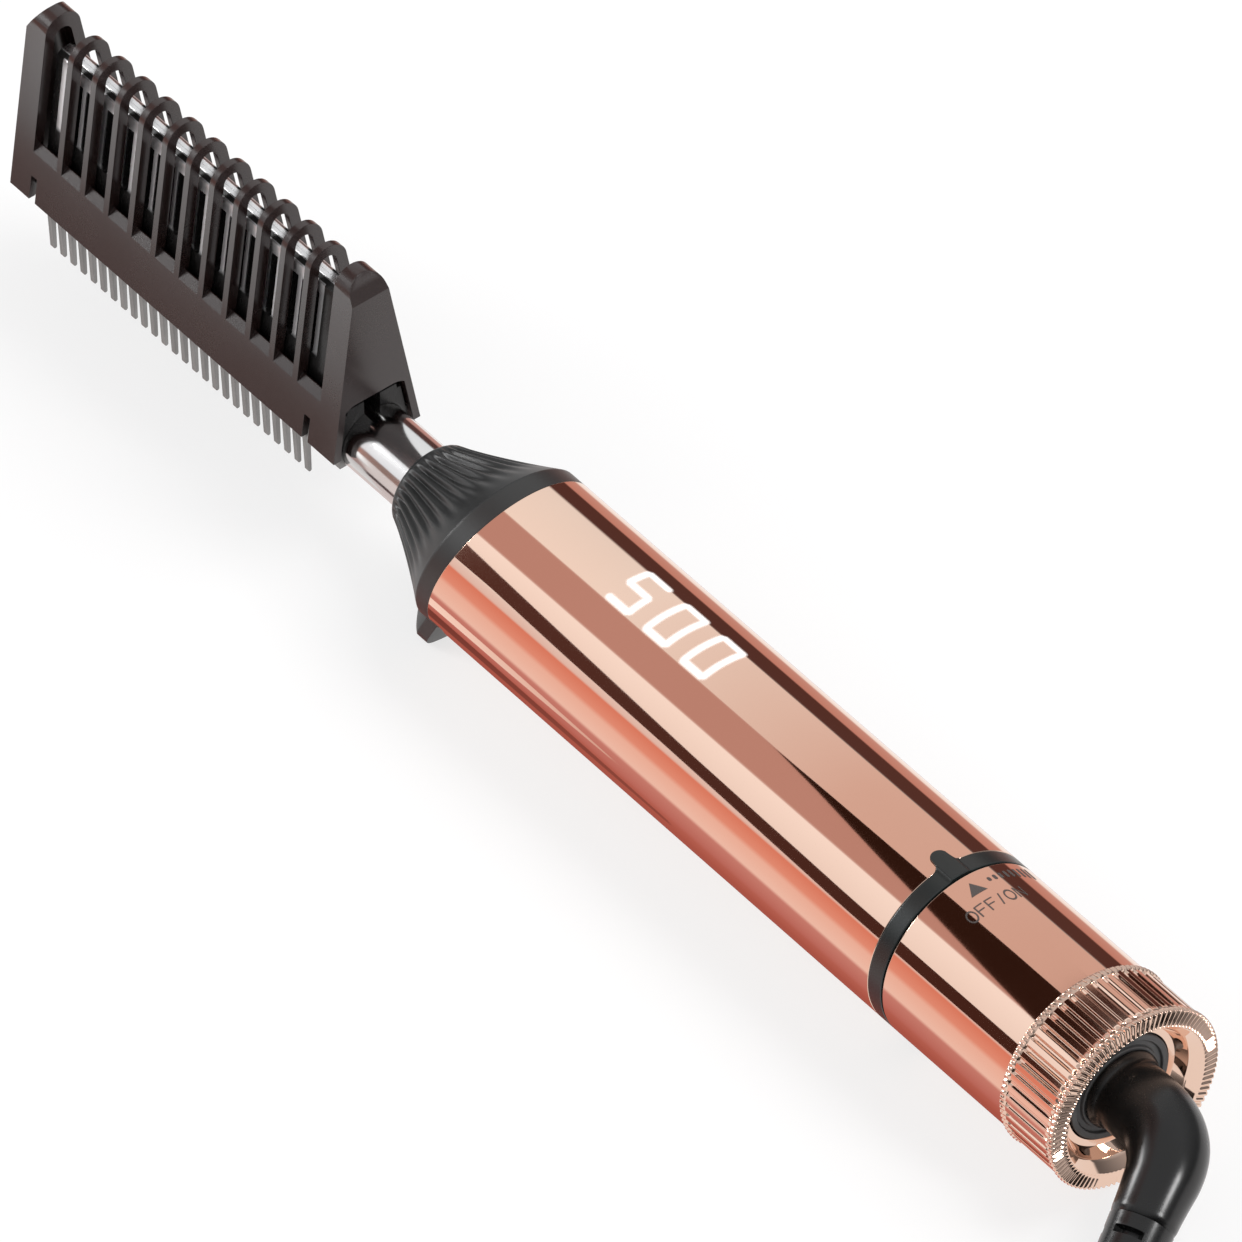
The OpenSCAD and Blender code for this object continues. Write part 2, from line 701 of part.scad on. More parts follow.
// The leg points away from the corner, below level and towards -Y
module leg_frame() {
  translate([corner_x, 0, 0]) rotate([elbow_dip, 0, 0]) rotate([0, 0, -elbow_bend]) children();
}
module cord_elbow() {
  color([0.06, 0.06, 0.06]) on_handle() {
    rod(root_x, corner_x - root_x, elbow_r);
    rod(socket_x, root_x - socket_x + 1, stem_r);
    rod(socket_x - flange_t, flange_t, spindle_bore_r - turn_gap);
    translate([corner_x, 0, 0]) sphere(elbow_r + corner_swell);
    leg_frame() rotate([0, 90, 0]) cylinder(h = leg_len, r1 = elbow_r, r2 = leg_end_r);
  }
}
module swivel_pin() {
  x0 = carrier_x + carrier_len + 1.5;
  color("gold") on_handle() {
    rod(x0, socket_x - flange_t - x0, 1.5);
    for (x = [2, 6]) rod(x0 + x, 2.5, slip_ring_r);
  }
}

// ---- Strain relief ----
// It sags from the leg along an arc, until it lies level just above the table.
cord_r = cord_d / 2;
relief_core = cord_r + 0.5;
relief_end_r = relief_core + 0.25;
lie_z = relief_end_r + 0.05;
leg_pitch = asin(sin(elbow_bend) * sin(elbow_dip));
leg_head = atan2(-sin(elbow_bend) * cos(elbow_dip), cos(elbow_bend));
sag_r = (axis_h - lie_z - leg_len * sin(leg_pitch)) / (1 - cos(leg_pitch));
relief_len = sag_r * leg_pitch * PI / 180;
relief_rings = 9;

// Point on the relief's middle line, t from 0 at the leg to 1 at its end, in the part's own frame
function relief_at(t) =
  let(p = leg_pitch * (1 - t),
      run = leg_len * cos(leg_pitch) + sag_r * (sin(leg_pitch) - sin(p)),
      z = lie_z + sag_r * (1 - cos(p)))
  [corner_x - mid_x + run * cos(leg_head), run * sin(leg_head), z];
function relief_r(t) = (leg_end_r - 0.1) * (1 - t) + relief_end_r * t;
module at_relief(t) {
  translate(relief_at(t)) rotate([0, 0, leg_head]) rotate([0, leg_pitch * (1 - t), 0]) children();
}
module strain_relief() {
  step = 1 / relief_rings;
  color([0.07, 0.07, 0.07]) {
    at_relief(1) translate([0, 0, sag_r]) rotate([-90, 0, 0]) rotate([0, 0, 90])
      rotate_extrude(angle = leg_pitch) translate([sag_r, 0]) circle(relief_core);
    for (i = [0 : relief_rings - 1])
      at_relief((i + 0.5) * step) translate([-relief_len * step * 0.3, 0, 0]) rotate([0, 90, 0])
        cylinder(h = relief_len * step * 0.6, r = relief_r(i / (relief_rings - 1)));
  }
}

// ---- Mains lead ----
// The lead's own frame: X runs on from the strain relief, level with the table, and Y points left.
module lead_frame() { translate(relief_at(1)) rotate([0, 0, leg_head]) children(); }

// Tube swept along points that never run upright
function unit(v) = v / norm(v);
function heading(p, i) = unit(p[min(i + 1, len(p) - 1)] - p[max(i - 1, 0)]);
function ring_at(p, i, r, sides) =
  let(t = heading(p, i), s = unit(cross([0, 0, 1], t)), u = cross(t, s))
  [for (k = [0 : sides - 1]) p[i] + r * (cos(360 * k / sides) * s + sin(360 * k / sides) * u)];
module swept_tube(p, r, sides) {
  last = len(p) - 1;
  rings = [for (i = [0 : last]) each ring_at(p, i, r, sides)];
  start = [for (k = [0 : sides - 1]) k];
  end = [for (k = [0 : sides - 1]) last * sides + sides - 1 - k];
  wall = [for (i = [0 : last - 1]) for (k = [0 : sides - 1]) for (half = [0, 1])
    let(a = i * sides + k, b = i * sides + (k + 1) % sides)
    half == 0 ? [a, b + sides, b] : [a, a + sides, b + sides]];
  polyhedron(points = rings, faces = concat([start], wall, [end]));
}

// Coil: it starts after the lead, spirals in and out again, and climbs a layer at each turning point.
tie_gap = 0.1;
tie_t = lie_z - cord_r - tie_gap;          // the coil lies on its two ties
lead_points = [[0, 0, 0], [5, 0, 0], [10, 0, 0]];
coil_mid = [lead_points[2].x + cord_d, coil_r, 0];
layers = 4;
loop_step = cord_d + coil_gap;
layer_turns = coil_turns / layers;
loop_parts = 24;
coil_in_r = coil_r - layer_turns * loop_step;
function coil_loop_r(t) =
  let(k = floor(t / layer_turns), u = t - k * layer_turns)
  k % 2 == 0 ? coil_r - u * loop_step : coil_in_r + u * loop_step;
function coil_climb(t, k = 1) =
  k >= layers ? 0 : loop_step * ease((t - k * layer_turns + 0.25) / 0.5) + coil_climb(t, k + 1);
coil_top = (layers - 1) * loop_step;
coil_path = concat(
  [[-cord_d, -coil_r, 0]],
  [for (i = [0 : coil_turns * loop_parts])
    let(t = i / loop_parts, a = 360 * t - 90, r = t == coil_turns ? coil_r : coil_loop_r(t))
    [r * cos(a), r * sin(a), coil_climb(t)]],
  [[cord_d, -coil_r, coil_top]]);

// Least gap between any two loops, and the lead's length, both from the points of the middle line
loop_gap = min([for (i = [1 : len(coil_path) - 2])
  min(concat([1000], [for (j = [i + loop_parts / 2 : 1 : len(coil_path) - 2])
    norm(coil_path[i] - coil_path[j])]))]) - cord_d;
function run_of(p, i = 1) = i >= len(p) ? 0 : norm(p[i] - p[i - 1]) + run_of(p, i + 1);

// Tail: over the coil's top and across its middle, to the plug that lies on the coil
tail_points = [
  [6, -40, 19.5], [9, -40, 19.5], [14, -38.8, 20.3], [19.5, -36, 21.7], [24.5, -32.5, 23.5], [28.5, -27, 25],
  [31, -20.5, 26], [32, -14, 26.5], [31, -7.5, 28.4], [28.5, -1, 30.2], [25.5, 4.196, 30.2]];
plug_at = tail_points[len(tail_points) - 1];
plug_turn = 120;

module cord_lead() { color([0.09, 0.09, 0.09]) lead_frame() swept_tube(lead_points, cord_r, 8); }
module cord_coil() {
  echo(least_gap_between_loops_mm = loop_gap);
  echo(lead_length_mm = run_of(lead_points) + run_of(coil_path) + run_of(tail_points));
  color([0.09, 0.09, 0.09]) lead_frame() translate(coil_mid) swept_tube(coil_path, cord_r, 6);
}
module cord_tail() {
  color([0.09, 0.09, 0.09]) lead_frame() translate(coil_mid) swept_tube(tail_points, cord_r, 8);
}

tie_w = 9;
tie_angles = [20, 160];
module tie_loop(grow) {
  inner = coil_in_r - cord_r - 0.6 - grow;
  outer = coil_r + cord_r + 0.2 + grow;
  low = -cord_r - tie_gap - grow;
  high = coil_top + cord_r + tie_gap + grow;
  translate([inner, low]) square([outer - inner, high - low]);
}
module cord_tie() {
  color([0.12, 0.12, 0.12]) lead_frame() translate(coil_mid) for (a = tie_angles)
    rotate([0, 0, a]) rotate([90, 0, 0]) linear_extrude(tie_w, center = true) difference() {
      tie_loop(tie_t);
      tie_loop(0);
    }
}

// ---- Plug, along its own X axis from the end of the lead ----
boot_len = 16;
plug_round = 4;
blade_w = 6.4;
blade_t = 1.5;
blade_len = 16;
module plug_frame() {
  lead_frame() translate(coil_mid) translate(plug_at) rotate([0, 0, plug_turn]) children();
}
module plug_outline() {
  hw = plug_w / 2;
  r = plug_round;
  translate([0, -hw + r]) square([plug_len, 2 * (hw - r)]);
  translate([r, -hw]) square([plug_len - 2 * r, 2 * hw]);
  for (x = [r, plug_len - r]) for (y = [-hw + r, hw - r]) translate([x, y]) circle(r);
}
module plug_body() {
  rib = boot_len / 5;
  color([0.08, 0.08, 0.08]) plug_frame() {
    rotate([0, 90, 0]) cylinder(h = boot_len + 1, r1 = cord_r + 0.6, r2 = cord_r + 1.6);
    for (i = [0 : 4]) translate([i * rib, 0, 0]) rotate([0, 90, 0])
      cylinder(h = rib * 0.6, r = cord_r + 1.4 + 0.4 * i);
    translate([boot_len, 0, -plug_t / 2]) linear_extrude(plug_t) plug_outline();
  }
}
module plug_blades() {
  color("gold") plug_frame() for (s = [-1, 1]) difference() {
    translate([boot_len + plug_len, s * blade_pitch / 2 - blade_t / 2, -blade_w / 2])
      cube([blade_len, blade_t, blade_w]);
    translate([boot_len + plug_len + blade_len - 4.2, s * blade_pitch / 2, 0]) rotate([90, 0, 0])
      cylinder(h = 4 * blade_t, r = 1.6, center = true);
  }
}

comb_guard();
comb_half_near();
comb_half_far();
comb_screws();
ptc_heater();
heater_insulation();
thermistor();
thermal_fuse();
heater_leads();
neck_tube();
neck_bush();
collar();
barrel_front();
chassis();
main_board();
display_module();
power_parts();
index_ring();
track_board();
detent_spring();
spindle();
end_disc();
contact_carrier();
contact_springs();
supply_leads();
dial_sleeve();
knurled_cap();
dial_hub();
wiper_ring();
cord_elbow();
swivel_pin();
strain_relief();
cord_lead();
cord_coil();
cord_tail();
cord_tie();
plug_body();
plug_blades();
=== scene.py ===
import math

import bmesh
import bpy
import numpy as np
from mathutils import Matrix


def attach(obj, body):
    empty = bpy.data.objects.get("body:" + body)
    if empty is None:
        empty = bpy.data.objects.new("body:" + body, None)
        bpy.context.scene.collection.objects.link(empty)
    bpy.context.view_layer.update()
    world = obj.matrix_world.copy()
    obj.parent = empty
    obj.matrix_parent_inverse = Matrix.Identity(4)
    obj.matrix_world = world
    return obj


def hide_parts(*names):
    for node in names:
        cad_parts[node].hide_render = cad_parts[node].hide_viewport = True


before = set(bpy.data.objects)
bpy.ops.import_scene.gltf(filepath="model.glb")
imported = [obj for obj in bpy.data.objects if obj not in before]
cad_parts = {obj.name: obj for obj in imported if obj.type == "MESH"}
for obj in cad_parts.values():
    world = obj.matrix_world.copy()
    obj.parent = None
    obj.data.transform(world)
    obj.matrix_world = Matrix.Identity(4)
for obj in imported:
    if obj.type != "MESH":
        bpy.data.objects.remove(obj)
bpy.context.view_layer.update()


# ---- Camera ----
# A long lens three metres away looks down on the handle from beside its tail, and sees
# the comb at the upper left and the lead's elbow at the lower right.
camera = bpy.data.objects.new("camera", bpy.data.cameras.new("camera"))
bpy.context.scene.collection.objects.link(camera)
camera_right = (0.62213, 0.78258, -0.02291)
camera_up = (-0.54145, 0.4512, 0.7094)
camera_back = (0.5655, -0.42894, 0.70443)
camera_at = (1.69502, -1.27776, 2.12206)
camera.matrix_world = Matrix(
    [list(row) for row in zip(camera_right, camera_up, camera_back, camera_at)]
    + [[0, 0, 0, 1]]
)
camera.data.lens = 554.35
camera.data.sensor_width = 36
camera.data.clip_start = 0.1
camera.data.clip_end = 20
bpy.context.scene.camera = camera


# ---- Studio ----
# White surroundings, a plain pale table and soft lamps. Long flags hang beside the table,
# which polished metal mirrors as bands along the handle.
class Wire:
    """An output of a node. Arithmetic on it adds Math nodes."""

    def __init__(self, graph, socket):
        self.graph, self.socket = graph, socket

    def math(self, operation, *values):
        """A Math node of this operation on the values."""
        return self.graph.node(
            "ShaderNodeMath", {"operation": operation}, dict(enumerate(values))
        )

    def __add__(self, other):
        return self.math("ADD", self, other)

    def __radd__(self, other):
        return self.math("ADD", other, self)

    def __sub__(self, other):
        return self.math("SUBTRACT", self, other)

    def __rsub__(self, other):
        return self.math("SUBTRACT", other, self)

    def __mul__(self, other):
        return self.math("MULTIPLY", self, other)

    def __rmul__(self, other):
        return self.math("MULTIPLY", other, self)

    def __truediv__(self, other):
        return self.math("DIVIDE", self, other)

    def __rtruediv__(self, other):
        return self.math("DIVIDE", other, self)

    def clamp(self):
        """Kept between 0 and 1."""
        return self.graph.node("ShaderNodeClamp", {}, {"Value": self})

    def step(self, start, end):
        """0 at start and 1 at end, with a soft change between."""
        return self.graph.node(
            "ShaderNodeMapRange",
            {"interpolation_type": "SMOOTHSTEP"},
            {"Value": self, "From Min": start, "From Max": end},
        )


class Graph:
    """The nodes of a material or of the world."""

    def __init__(self, owner):
        owner.use_nodes = True
        self.tree = owner.node_tree
        self.tree.nodes.clear()

    def node(self, kind, settings, sockets, output=0):
        """Adds a node of any kind: its settings first, then its sockets' values or links."""
        made = self.tree.nodes.new(kind)
        for key, value in settings.items():
            if key == "stops":
                stops = made.color_ramp.elements
                while len(stops) < len(value):
                    stops.new(1)
                for stop, (place, colour) in zip(stops, value):
                    stop.position = place
                    stop.color = (*colour, 1)
            else:
                setattr(made, key, value)
        for key, value in sockets.items():
            if isinstance(value, Wire):
                self.tree.links.new(value.socket, made.inputs[key])
            else:
                made.inputs[key].default_value = value
        return Wire(self, made.outputs[output]) if made.outputs else None

    def mix(self, share, first, second):
        """A colour: first where share is 0, second where it is 1."""
        first, second = (
            (*c, 1) if isinstance(c, tuple) and len(c) == 3 else c for c in (first, second)
        )
        return self.node(
            "ShaderNodeMix", {"data_type": "RGBA"}, {0: share, 6: first, 7: second}, 2
        )

    def place(self, scale=(1, 1, 1), turn=(0, 0, 0), at=(0, 0, 0)):
        """The piece's own coordinates, in metres, moved, turned and scaled."""
        own = self.node("ShaderNodeTexCoord", {}, {}, 3)
        return self.node(
            "ShaderNodeMapping",
            {"vector_type": "POINT"},
            {"Vector": own, "Location": at, "Rotation": turn, "Scale": scale},
        )

    def cloud(self, place, scale, detail=2.0, rough=0.5):
        """Noise from 0 to 1."""
        return self.node(
            "ShaderNodeTexNoise",
            {},
            {"Vector": place, "Scale": scale, "Detail": detail, "Roughness": rough},
        )

    def bump(self, height, depth):
        """A normal from a height of 0 to 1, depth metres high."""
        return self.node(
            "ShaderNodeBump", {}, {"Height": height, "Distance": depth, "Strength": 1.0}
        )


def band_stops(bands):
    """Ramp stops for bands of light round the handle: each band is the angle it starts at,
    in degrees from straight up towards the camera's side, its colour there, the colour
    that it fades to, and the width of its first edge."""
    stops, last = [], None
    for start, colour, faded, edge in bands:
        if last is not None:
            stops.append(((start - edge / 2 + 180) / 360, last))
        stops.append(((start + edge / 2 + 180) / 360, colour))
        last = faded
    return stops + [(1.0, last)]


white = (1.0, 1.0, 1.0)
flag_bands = [
    (-180, (0.44, 0.12, 0.09), (0.36, 0.09, 0.07), 0),
    (-143, (1.0, 0.97, 0.95), (1.0, 0.95, 0.92), 6),
    (-118, (0.62, 0.34, 0.29), (0.60, 0.30, 0.25), 6),
    (-94, (0.10, 0.043, 0.036), (0.10, 0.045, 0.04), 2.5),
    (-68, (0.92, 0.94, 0.95), (1.0, 1.0, 1.0), 3),
    (-2, (0.57, 0.345, 0.31), (0.57, 0.345, 0.31), 1.5),
    (37, (1.08, 1.08, 1.10), (0.97, 0.95, 0.96), 1.5),
    (75, (0.90, 0.84, 0.86), (0.85, 0.72, 0.72), 1.2),
    (86, (0.80, 0.30, 0.22), (0.86, 0.40, 0.32), 2),
    (106, (0.95, 0.66, 0.60), (0.97, 0.76, 0.72), 6),
    (133, (0.64, 0.30, 0.28), (0.56, 0.21, 0.19), 5),
    (160, (0.50, 0.16, 0.13), (0.44, 0.12, 0.09), 8),
]
world = bpy.data.worlds.new("studio")
bpy.context.scene.world = world
studio = Graph(world)
towards = studio.node("ShaderNodeTexCoord", {}, {}, 0)
split = studio.node("ShaderNodeSeparateXYZ", {}, {"Vector": towards})
end_out = Wire(studio, split.socket.node.outputs[0])
side_out = Wire(studio, split.socket.node.outputs[1])
up_out = Wire(studio, split.socket.node.outputs[2])
round_angle = (side_out * -1).math("ARCTAN2", side_out * -1, up_out)
ray = studio.node("ShaderNodeLightPath", {}, {})
camera_ray, glossy_ray, through_ray = (
    Wire(studio, ray.socket.node.outputs[k])
    for k in ("Is Camera Ray", "Is Glossy Ray", "Is Transmission Ray")
)
flags = studio.node(
    "ShaderNodeValToRGB",
    {"stops": band_stops(flag_bands)},
    {"Fac": round_angle / (2 * math.pi) + 0.5},
)
hung_here = end_out.step(-0.78, -0.68) * (1 - end_out.step(-0.46, -0.36))
walls = studio.mix(up_out.step(0.0, 0.9), (0.14, 0.14, 0.145), (0.62, 0.62, 0.63))
around = studio.mix(up_out.step(-0.06, 0.02), (0.92, 0.90, 0.895), walls)
mirrored = studio.mix(hung_here, around, flags)
room = studio.mix(glossy_ray, (0.50, 0.50, 0.51), mirrored)
backdrop = studio.mix((camera_ray + through_ray).clamp(), room, white)
studio.node(
    "ShaderNodeOutputWorld",
    {},
    {"Surface": studio.node("ShaderNodeBackground", {}, {"Color": backdrop, "Strength": 1.0})},
)


def lamp(name, place, aim, size, power, glints=False):
    """A square soft lamp at place, in metres, that shines at aim."""
    light = bpy.data.objects.new(name, bpy.data.lights.new(name, "AREA"))
    bpy.context.scene.collection.objects.link(light)
    light.data.size = size
    light.data.energy = power
    light.visible_glossy = glints
    place, aim = np.array(place, float), np.array(aim, float)
    back = (place - aim) / np.linalg.norm(place - aim)
    right = np.cross((0.1, 0.2, 1.0), back)
    right /= np.linalg.norm(right)
    up = np.cross(back, right)
    light.matrix_world = Matrix(
        [[*row] for row in zip(right, up, back, place)] + [[0, 0, 0, 1]]
    )


lamp("key_lamp", (0.35, 0.75, 1.25), (0, 0, 0), 0.9, 13.0)
lamp("fill_lamp", (-0.9, -0.8, 0.9), (0, 0, 0), 0.8, 5.0)
lamp("edge_lamp", (1.45, 0.42, 0.82), (0.15, -0.01, 0.02), 0.3, 6.0, glints=True)
lamp("sill_lamp", (-1.25, -0.75, 0.62), (-0.09, 0, 0.03), 0.4, 6.5, glints=True)

floor_mesh = bpy.data.meshes.new("table")
floor_mesh.from_pydata(
    [(-6, -6, 0), (6, -6, 0), (6, 6, 0), (-6, 6, 0)], [], [(0, 1, 2, 3)]
)
table = bpy.data.objects.new("table", floor_mesh)
bpy.context.scene.collection.objects.link(table)
table_finish = bpy.data.materials.new("table")
floor_graph = Graph(table_finish)
ray = floor_graph.node("ShaderNodeLightPath", {}, {})
seen = (
    Wire(floor_graph, ray.socket.node.outputs["Is Camera Ray"])
    + Wire(floor_graph, ray.socket.node.outputs["Is Transmission Ray"])
    + Wire(floor_graph, ray.socket.node.outputs["Is Glossy Ray"])
).clamp()
lit = floor_graph.node("ShaderNodeBsdfDiffuse", {}, {"Color": (0.9, 0.89, 0.885, 1)})
glow = floor_graph.node("ShaderNodeEmission", {}, {"Color": (1, 1, 1, 1), "Strength": 1.0})
floor_graph.node(
    "ShaderNodeOutputMaterial",
    {},
    {
        "Surface": floor_graph.node(
            "ShaderNodeMixShader", {}, {0: seen * 0.72, 1: lit, 2: glow}
        )
    },
)
floor_mesh.materials.append(table_finish)
table.visible_glossy = False
bpy.context.scene.view_settings.view_transform = "Standard"


def sheet(name, corners, share, first, last):
    """A glowing sheet that only mirrors see, on a grid of points in metres. Its colour runs
    from first to last as share goes from 0 to 1."""
    rows, columns = corners.shape[:2]
    k = np.arange((rows - 1) * columns).reshape(rows - 1, columns)[:, :-1].ravel()
    mesh = bpy.data.meshes.new(name)
    mesh.from_pydata(
        corners.reshape(-1, 3).tolist(),
        [],
        np.stack([k, k + 1, k + columns + 1, k + columns], 1).tolist(),
    )
    own = mesh.attributes.new("share", "FLOAT", "POINT")
    own.data.foreach_set("value", share.ravel().astype(np.float32))
    made = bpy.data.materials.new(name)
    graph = Graph(made)
    share_in = graph.node("ShaderNodeAttribute", {"attribute_name": "share"}, {}, 2)
    tone = graph.mix(share_in, first, last)
    graph.node(
        "ShaderNodeOutputMaterial",
        {},
        {"Surface": graph.node("ShaderNodeEmission", {}, {"Color": tone, "Strength": 1.0})},
    )
    mesh.materials.append(made)
    hung = bpy.data.objects.new(name, mesh)
    bpy.context.scene.collection.objects.link(hung)
    hung.visible_camera = hung.visible_diffuse = hung.visible_shadow = False
    hung.visible_transmission = hung.visible_volume_scatter = False


# The handle's axis lies this high, and x is counted along it from the barrel's front, this
# far before the part's own origin. Both are in millimetres.
axis_height = 16.6
middle = 18.1


def card(name, stations, first, last=None, reach=0.45, radius=16.0):
    """A sheet hung round the handle. Each station is a place along it in millimetres, and the
    two angles from its top between which the sheet shows there, in a mirror of that radius:
    each point lies reach metres out on the mirrored line of sight."""
    x, start, end = np.array(stations, float).T
    along = np.linspace(x[0], x[-1], 40)
    across = np.linspace(0, 1, 16)[:, None]
    turn = np.radians(
        np.interp(along, x, start) * (1 - across) + np.interp(along, x, end) * across
    )
    out = np.stack([np.zeros_like(turn), -np.sin(turn), np.cos(turn)], -1)
    centre = np.stack([along - middle, 0 * along, 0 * along + axis_height], -1)
    spot = (radius * out + centre) / 1000
    sight = np.array(camera_at) - spot
    sight /= np.linalg.norm(sight, axis=-1, keepdims=True)
    ray = 2 * (out * sight).sum(-1, keepdims=True) * out - sight
    share = np.broadcast_to(np.linspace(0, 1, 40), turn.shape)
    sheet(name, spot + reach * ray, share, first, last or first)


def table_card(name, ends, inner, outer, first, last):
    """A sheet just over the table beside the comb, from inner to outer millimetres out on the
    near side, its ends on a slant: what the upright sides mirror of the table."""
    corners = np.array([[(end - 0.9 * y, -y, 1.0) for y in (inner, outer)] for end in ends])
    sheet(name, corners / 1000, np.array([[0.0, 1.0], [0.0, 1.0]]), first, last)


# The middle sheet is painted shade: a dark brownish stand-in for the shaded table beside the comb,
# which only the skirt's reflection shows.
table_card("table_under_teeth", (-136, -46), 8, 21, (0.85, 0.83, 0.82), (0.70, 0.66, 0.65))
table_card("table_shade_by_skirt", (-140, -44), 21, 39, (0.36, 0.22, 0.20), (0.50, 0.36, 0.33))
table_card("table_beyond", (-145, -40), 39, 100, (0.9, 0.9, 0.9), (2.6, 2.6, 2.6))
card(
    "dark_wedge",
    [
        (73, 15.2, 15.4), (84, 14.6, 18), (100, 14.2, 23), (109, 14, 25.5), (128, 13.5, 31),
        (141.5, 13.5, 34.5), (154.3, 13.5, 37),
    ],
    (0.03, 0.012, 0.008),
)
card("dark_end", [(143, -5, 13.5), (154.3, -7, 13.5)], (0.05, 0.02, 0.015))
card(
    "dark_strip",
    [
        (0, 42, 53), (12, 43.5, 52.5), (30, 45.5, 54), (62, 48.6, 55.2), (84, 49.6, 56.6),
        (100, 50.4, 57.6), (154.3, 50.6, 57.6),
    ],
    (0.10, 0.043, 0.036),
    (0.06, 0.022, 0.016),
)
pale_near, pale_middle, pale_end = (0.96, 0.97, 0.975), (0.76, 0.585, 0.54), (0.70, 0.50, 0.45)
card("pale_fade", [(34, -18.2, 14.6), (88, -18.2, 14.6)], pale_near, pale_middle, 0.5)
card("pale_far", [(88, -18.2, 14.6), (154.3, -18.2, 14.6)], pale_middle, pale_end, 0.5)
card(
    "low_glint",
    [(-3, 86.5, 93), (20, 86.5, 92), (46, 88, 89)],
    (1.1, 1.0, 0.98),
    (0.75, 0.5, 0.45),
)
card(
    "low_line",
    [(-3, 97, 106), (30, 98, 105), (60, 100, 103)],
    (0.20, 0.06, 0.05),
    (0.3, 0.09, 0.07),
)
for name, start, end, tone in (
    ("neck_dark", 13.5, 33, (0.05, 0.05, 0.053)),
    ("neck_white", 33, 56, (1.0, 1.0, 1.02)),
    ("neck_brown", 56, 66, (0.30, 0.19, 0.16)),
    ("neck_pale", 66, 83, (0.82, 0.72, 0.69)),
    ("neck_line", 83, 89, (0.08, 0.05, 0.05)),
    ("neck_below", 89, 130, (0.74, 0.63, 0.61)),
):
    card(name, [(-46, start, end), (-19, start, end)], tone, reach=0.14, radius=6.2)


# ---- Mains lead ----
# Six millimetre PVC lead, black. It runs straight out of the strain relief, is wound as for
# storage in four layers of two loops, and crosses the coil's top to the plug.
corner_x = 164.9
leg_length, bend, dip = 15.0, math.radians(67), math.radians(25.3)
lead_radius, lie_height = 3.0, 3.8
leg_pitch = math.asin(math.sin(bend) * math.sin(dip))
leg_head = math.atan2(-math.sin(bend) * math.cos(dip), math.cos(bend))
sag_radius = (axis_height - lie_height - leg_length * math.sin(leg_pitch)) / (
    1 - math.cos(leg_pitch)
)


def relief_line(t):
    """Points of the strain relief's middle line, in millimetres: an arc of sag_radius in the
    leg's upright plane, from the leg's end at t = 0 to level, lie_height up, at t = 1."""
    pitch = leg_pitch * (1 - t)
    run = leg_length * math.cos(leg_pitch) + sag_radius * (
        math.sin(leg_pitch) - np.sin(pitch)
    )
    return np.stack(
        [
            corner_x - middle + run * math.cos(leg_head),
            run * math.sin(leg_head),
            lie_height + sag_radius * (1 - np.cos(pitch)),
        ],
        -1,
    )


def from_lead(points):
    """Points of the lead's own frame, in millimetres, in the part's frame: turned by leg_head
    about the vertical, and moved to the strain relief's end."""
    c, s = math.cos(leg_head), math.sin(leg_head)
    return points @ np.array([[c, s, 0], [-s, c, 0], [0, 0, 1]]) + relief_line(np.array(1.0))


def smooth_line(points, parts):
    """A Catmull-Rom line: in each span, the cubic through its two points whose slopes are
    half the step between the neighbours."""
    p = np.concatenate(
        [[2 * points[0] - points[1]], points, [2 * points[-1] - points[-2]]]
    )
    t = np.linspace(0, 1, parts, endpoint=False)[None, :, None]
    a, b, c, d = (p[k : len(p) - 3 + k, None] for k in range(4))
    line = 0.5 * (
        2 * b
        + (c - a) * t
        + (2 * a - 5 * b + 4 * c - d) * t**2
        + (3 * b - a - 3 * c + d) * t**3
    )
    return np.concatenate([line.reshape(-1, 3), points[-1:]])


def skin(name, grid, round_rows=False, round_columns=False, sharp=38, weld=False, flip=None):
    """A mesh of quads over a grid of points in metres: point (row, column) is joined to the
    next row and the next column. Turned so that its faces point outwards, unless flip says."""
    rows, columns = grid.shape[:2]
    i, j = np.meshgrid(
        np.arange(rows if round_rows else rows - 1),
        np.arange(columns if round_columns else columns - 1),
        indexing="ij",
    )
    i, j = i.ravel(), j.ravel()
    corner_i = np.stack([i, i + 1, i + 1, i], 1)
    corner_j = np.stack([j, j, j + 1, j + 1], 1)
    quads = (corner_i % rows) * columns + corner_j % columns
    points = grid.reshape(-1, 3)
    centred = points - points.mean(0)
    a, b, c, d = (centred[quads[:, k]] for k in range(4))
    volume = (np.cross(b, c) * a).sum() + (np.cross(c, d) * a).sum()
    if (volume < 0) if flip is None else flip:
        quads, corner_i, corner_j = quads[:, ::-1], corner_i[:, ::-1], corner_j[:, ::-1]
    mesh = bpy.data.meshes.new(name)
    mesh.vertices.add(len(points))
    mesh.vertices.foreach_set("co", points.astype(np.float32).ravel())
    mesh.loops.add(quads.size)
    mesh.loops.foreach_set("vertex_index", quads.astype(np.int32).ravel())
    mesh.polygons.add(len(quads))
    mesh.polygons.foreach_set("loop_start", np.arange(0, quads.size, 4, dtype=np.int32))
    mesh.update(calc_edges=True)
    own = mesh.uv_layers.new(name="own")
    own.data.foreach_set(
        "uv",
        np.stack([corner_i / (rows - 1), corner_j / columns], -1).astype(np.float32).ravel(),
    )
    return settle(name, mesh, sharp, weld)


def settle(name, mesh, sharp, weld):
    """The object for a mesh: doubles merged if weld says, smooth, with hard edges where two
    faces meet at more than sharp degrees."""
    if weld:
        work = bmesh.new()
        work.from_mesh(mesh)
        bmesh.ops.remove_doubles(work, verts=work.verts, dist=1e-7)
        work.to_mesh(mesh)
        work.free()
    mesh.shade_smooth()
    mesh.set_sharp_from_angle(angle=math.radians(sharp))
    piece = bpy.data.objects.new(name, mesh)
    bpy.context.scene.collection.objects.link(piece)
    return piece


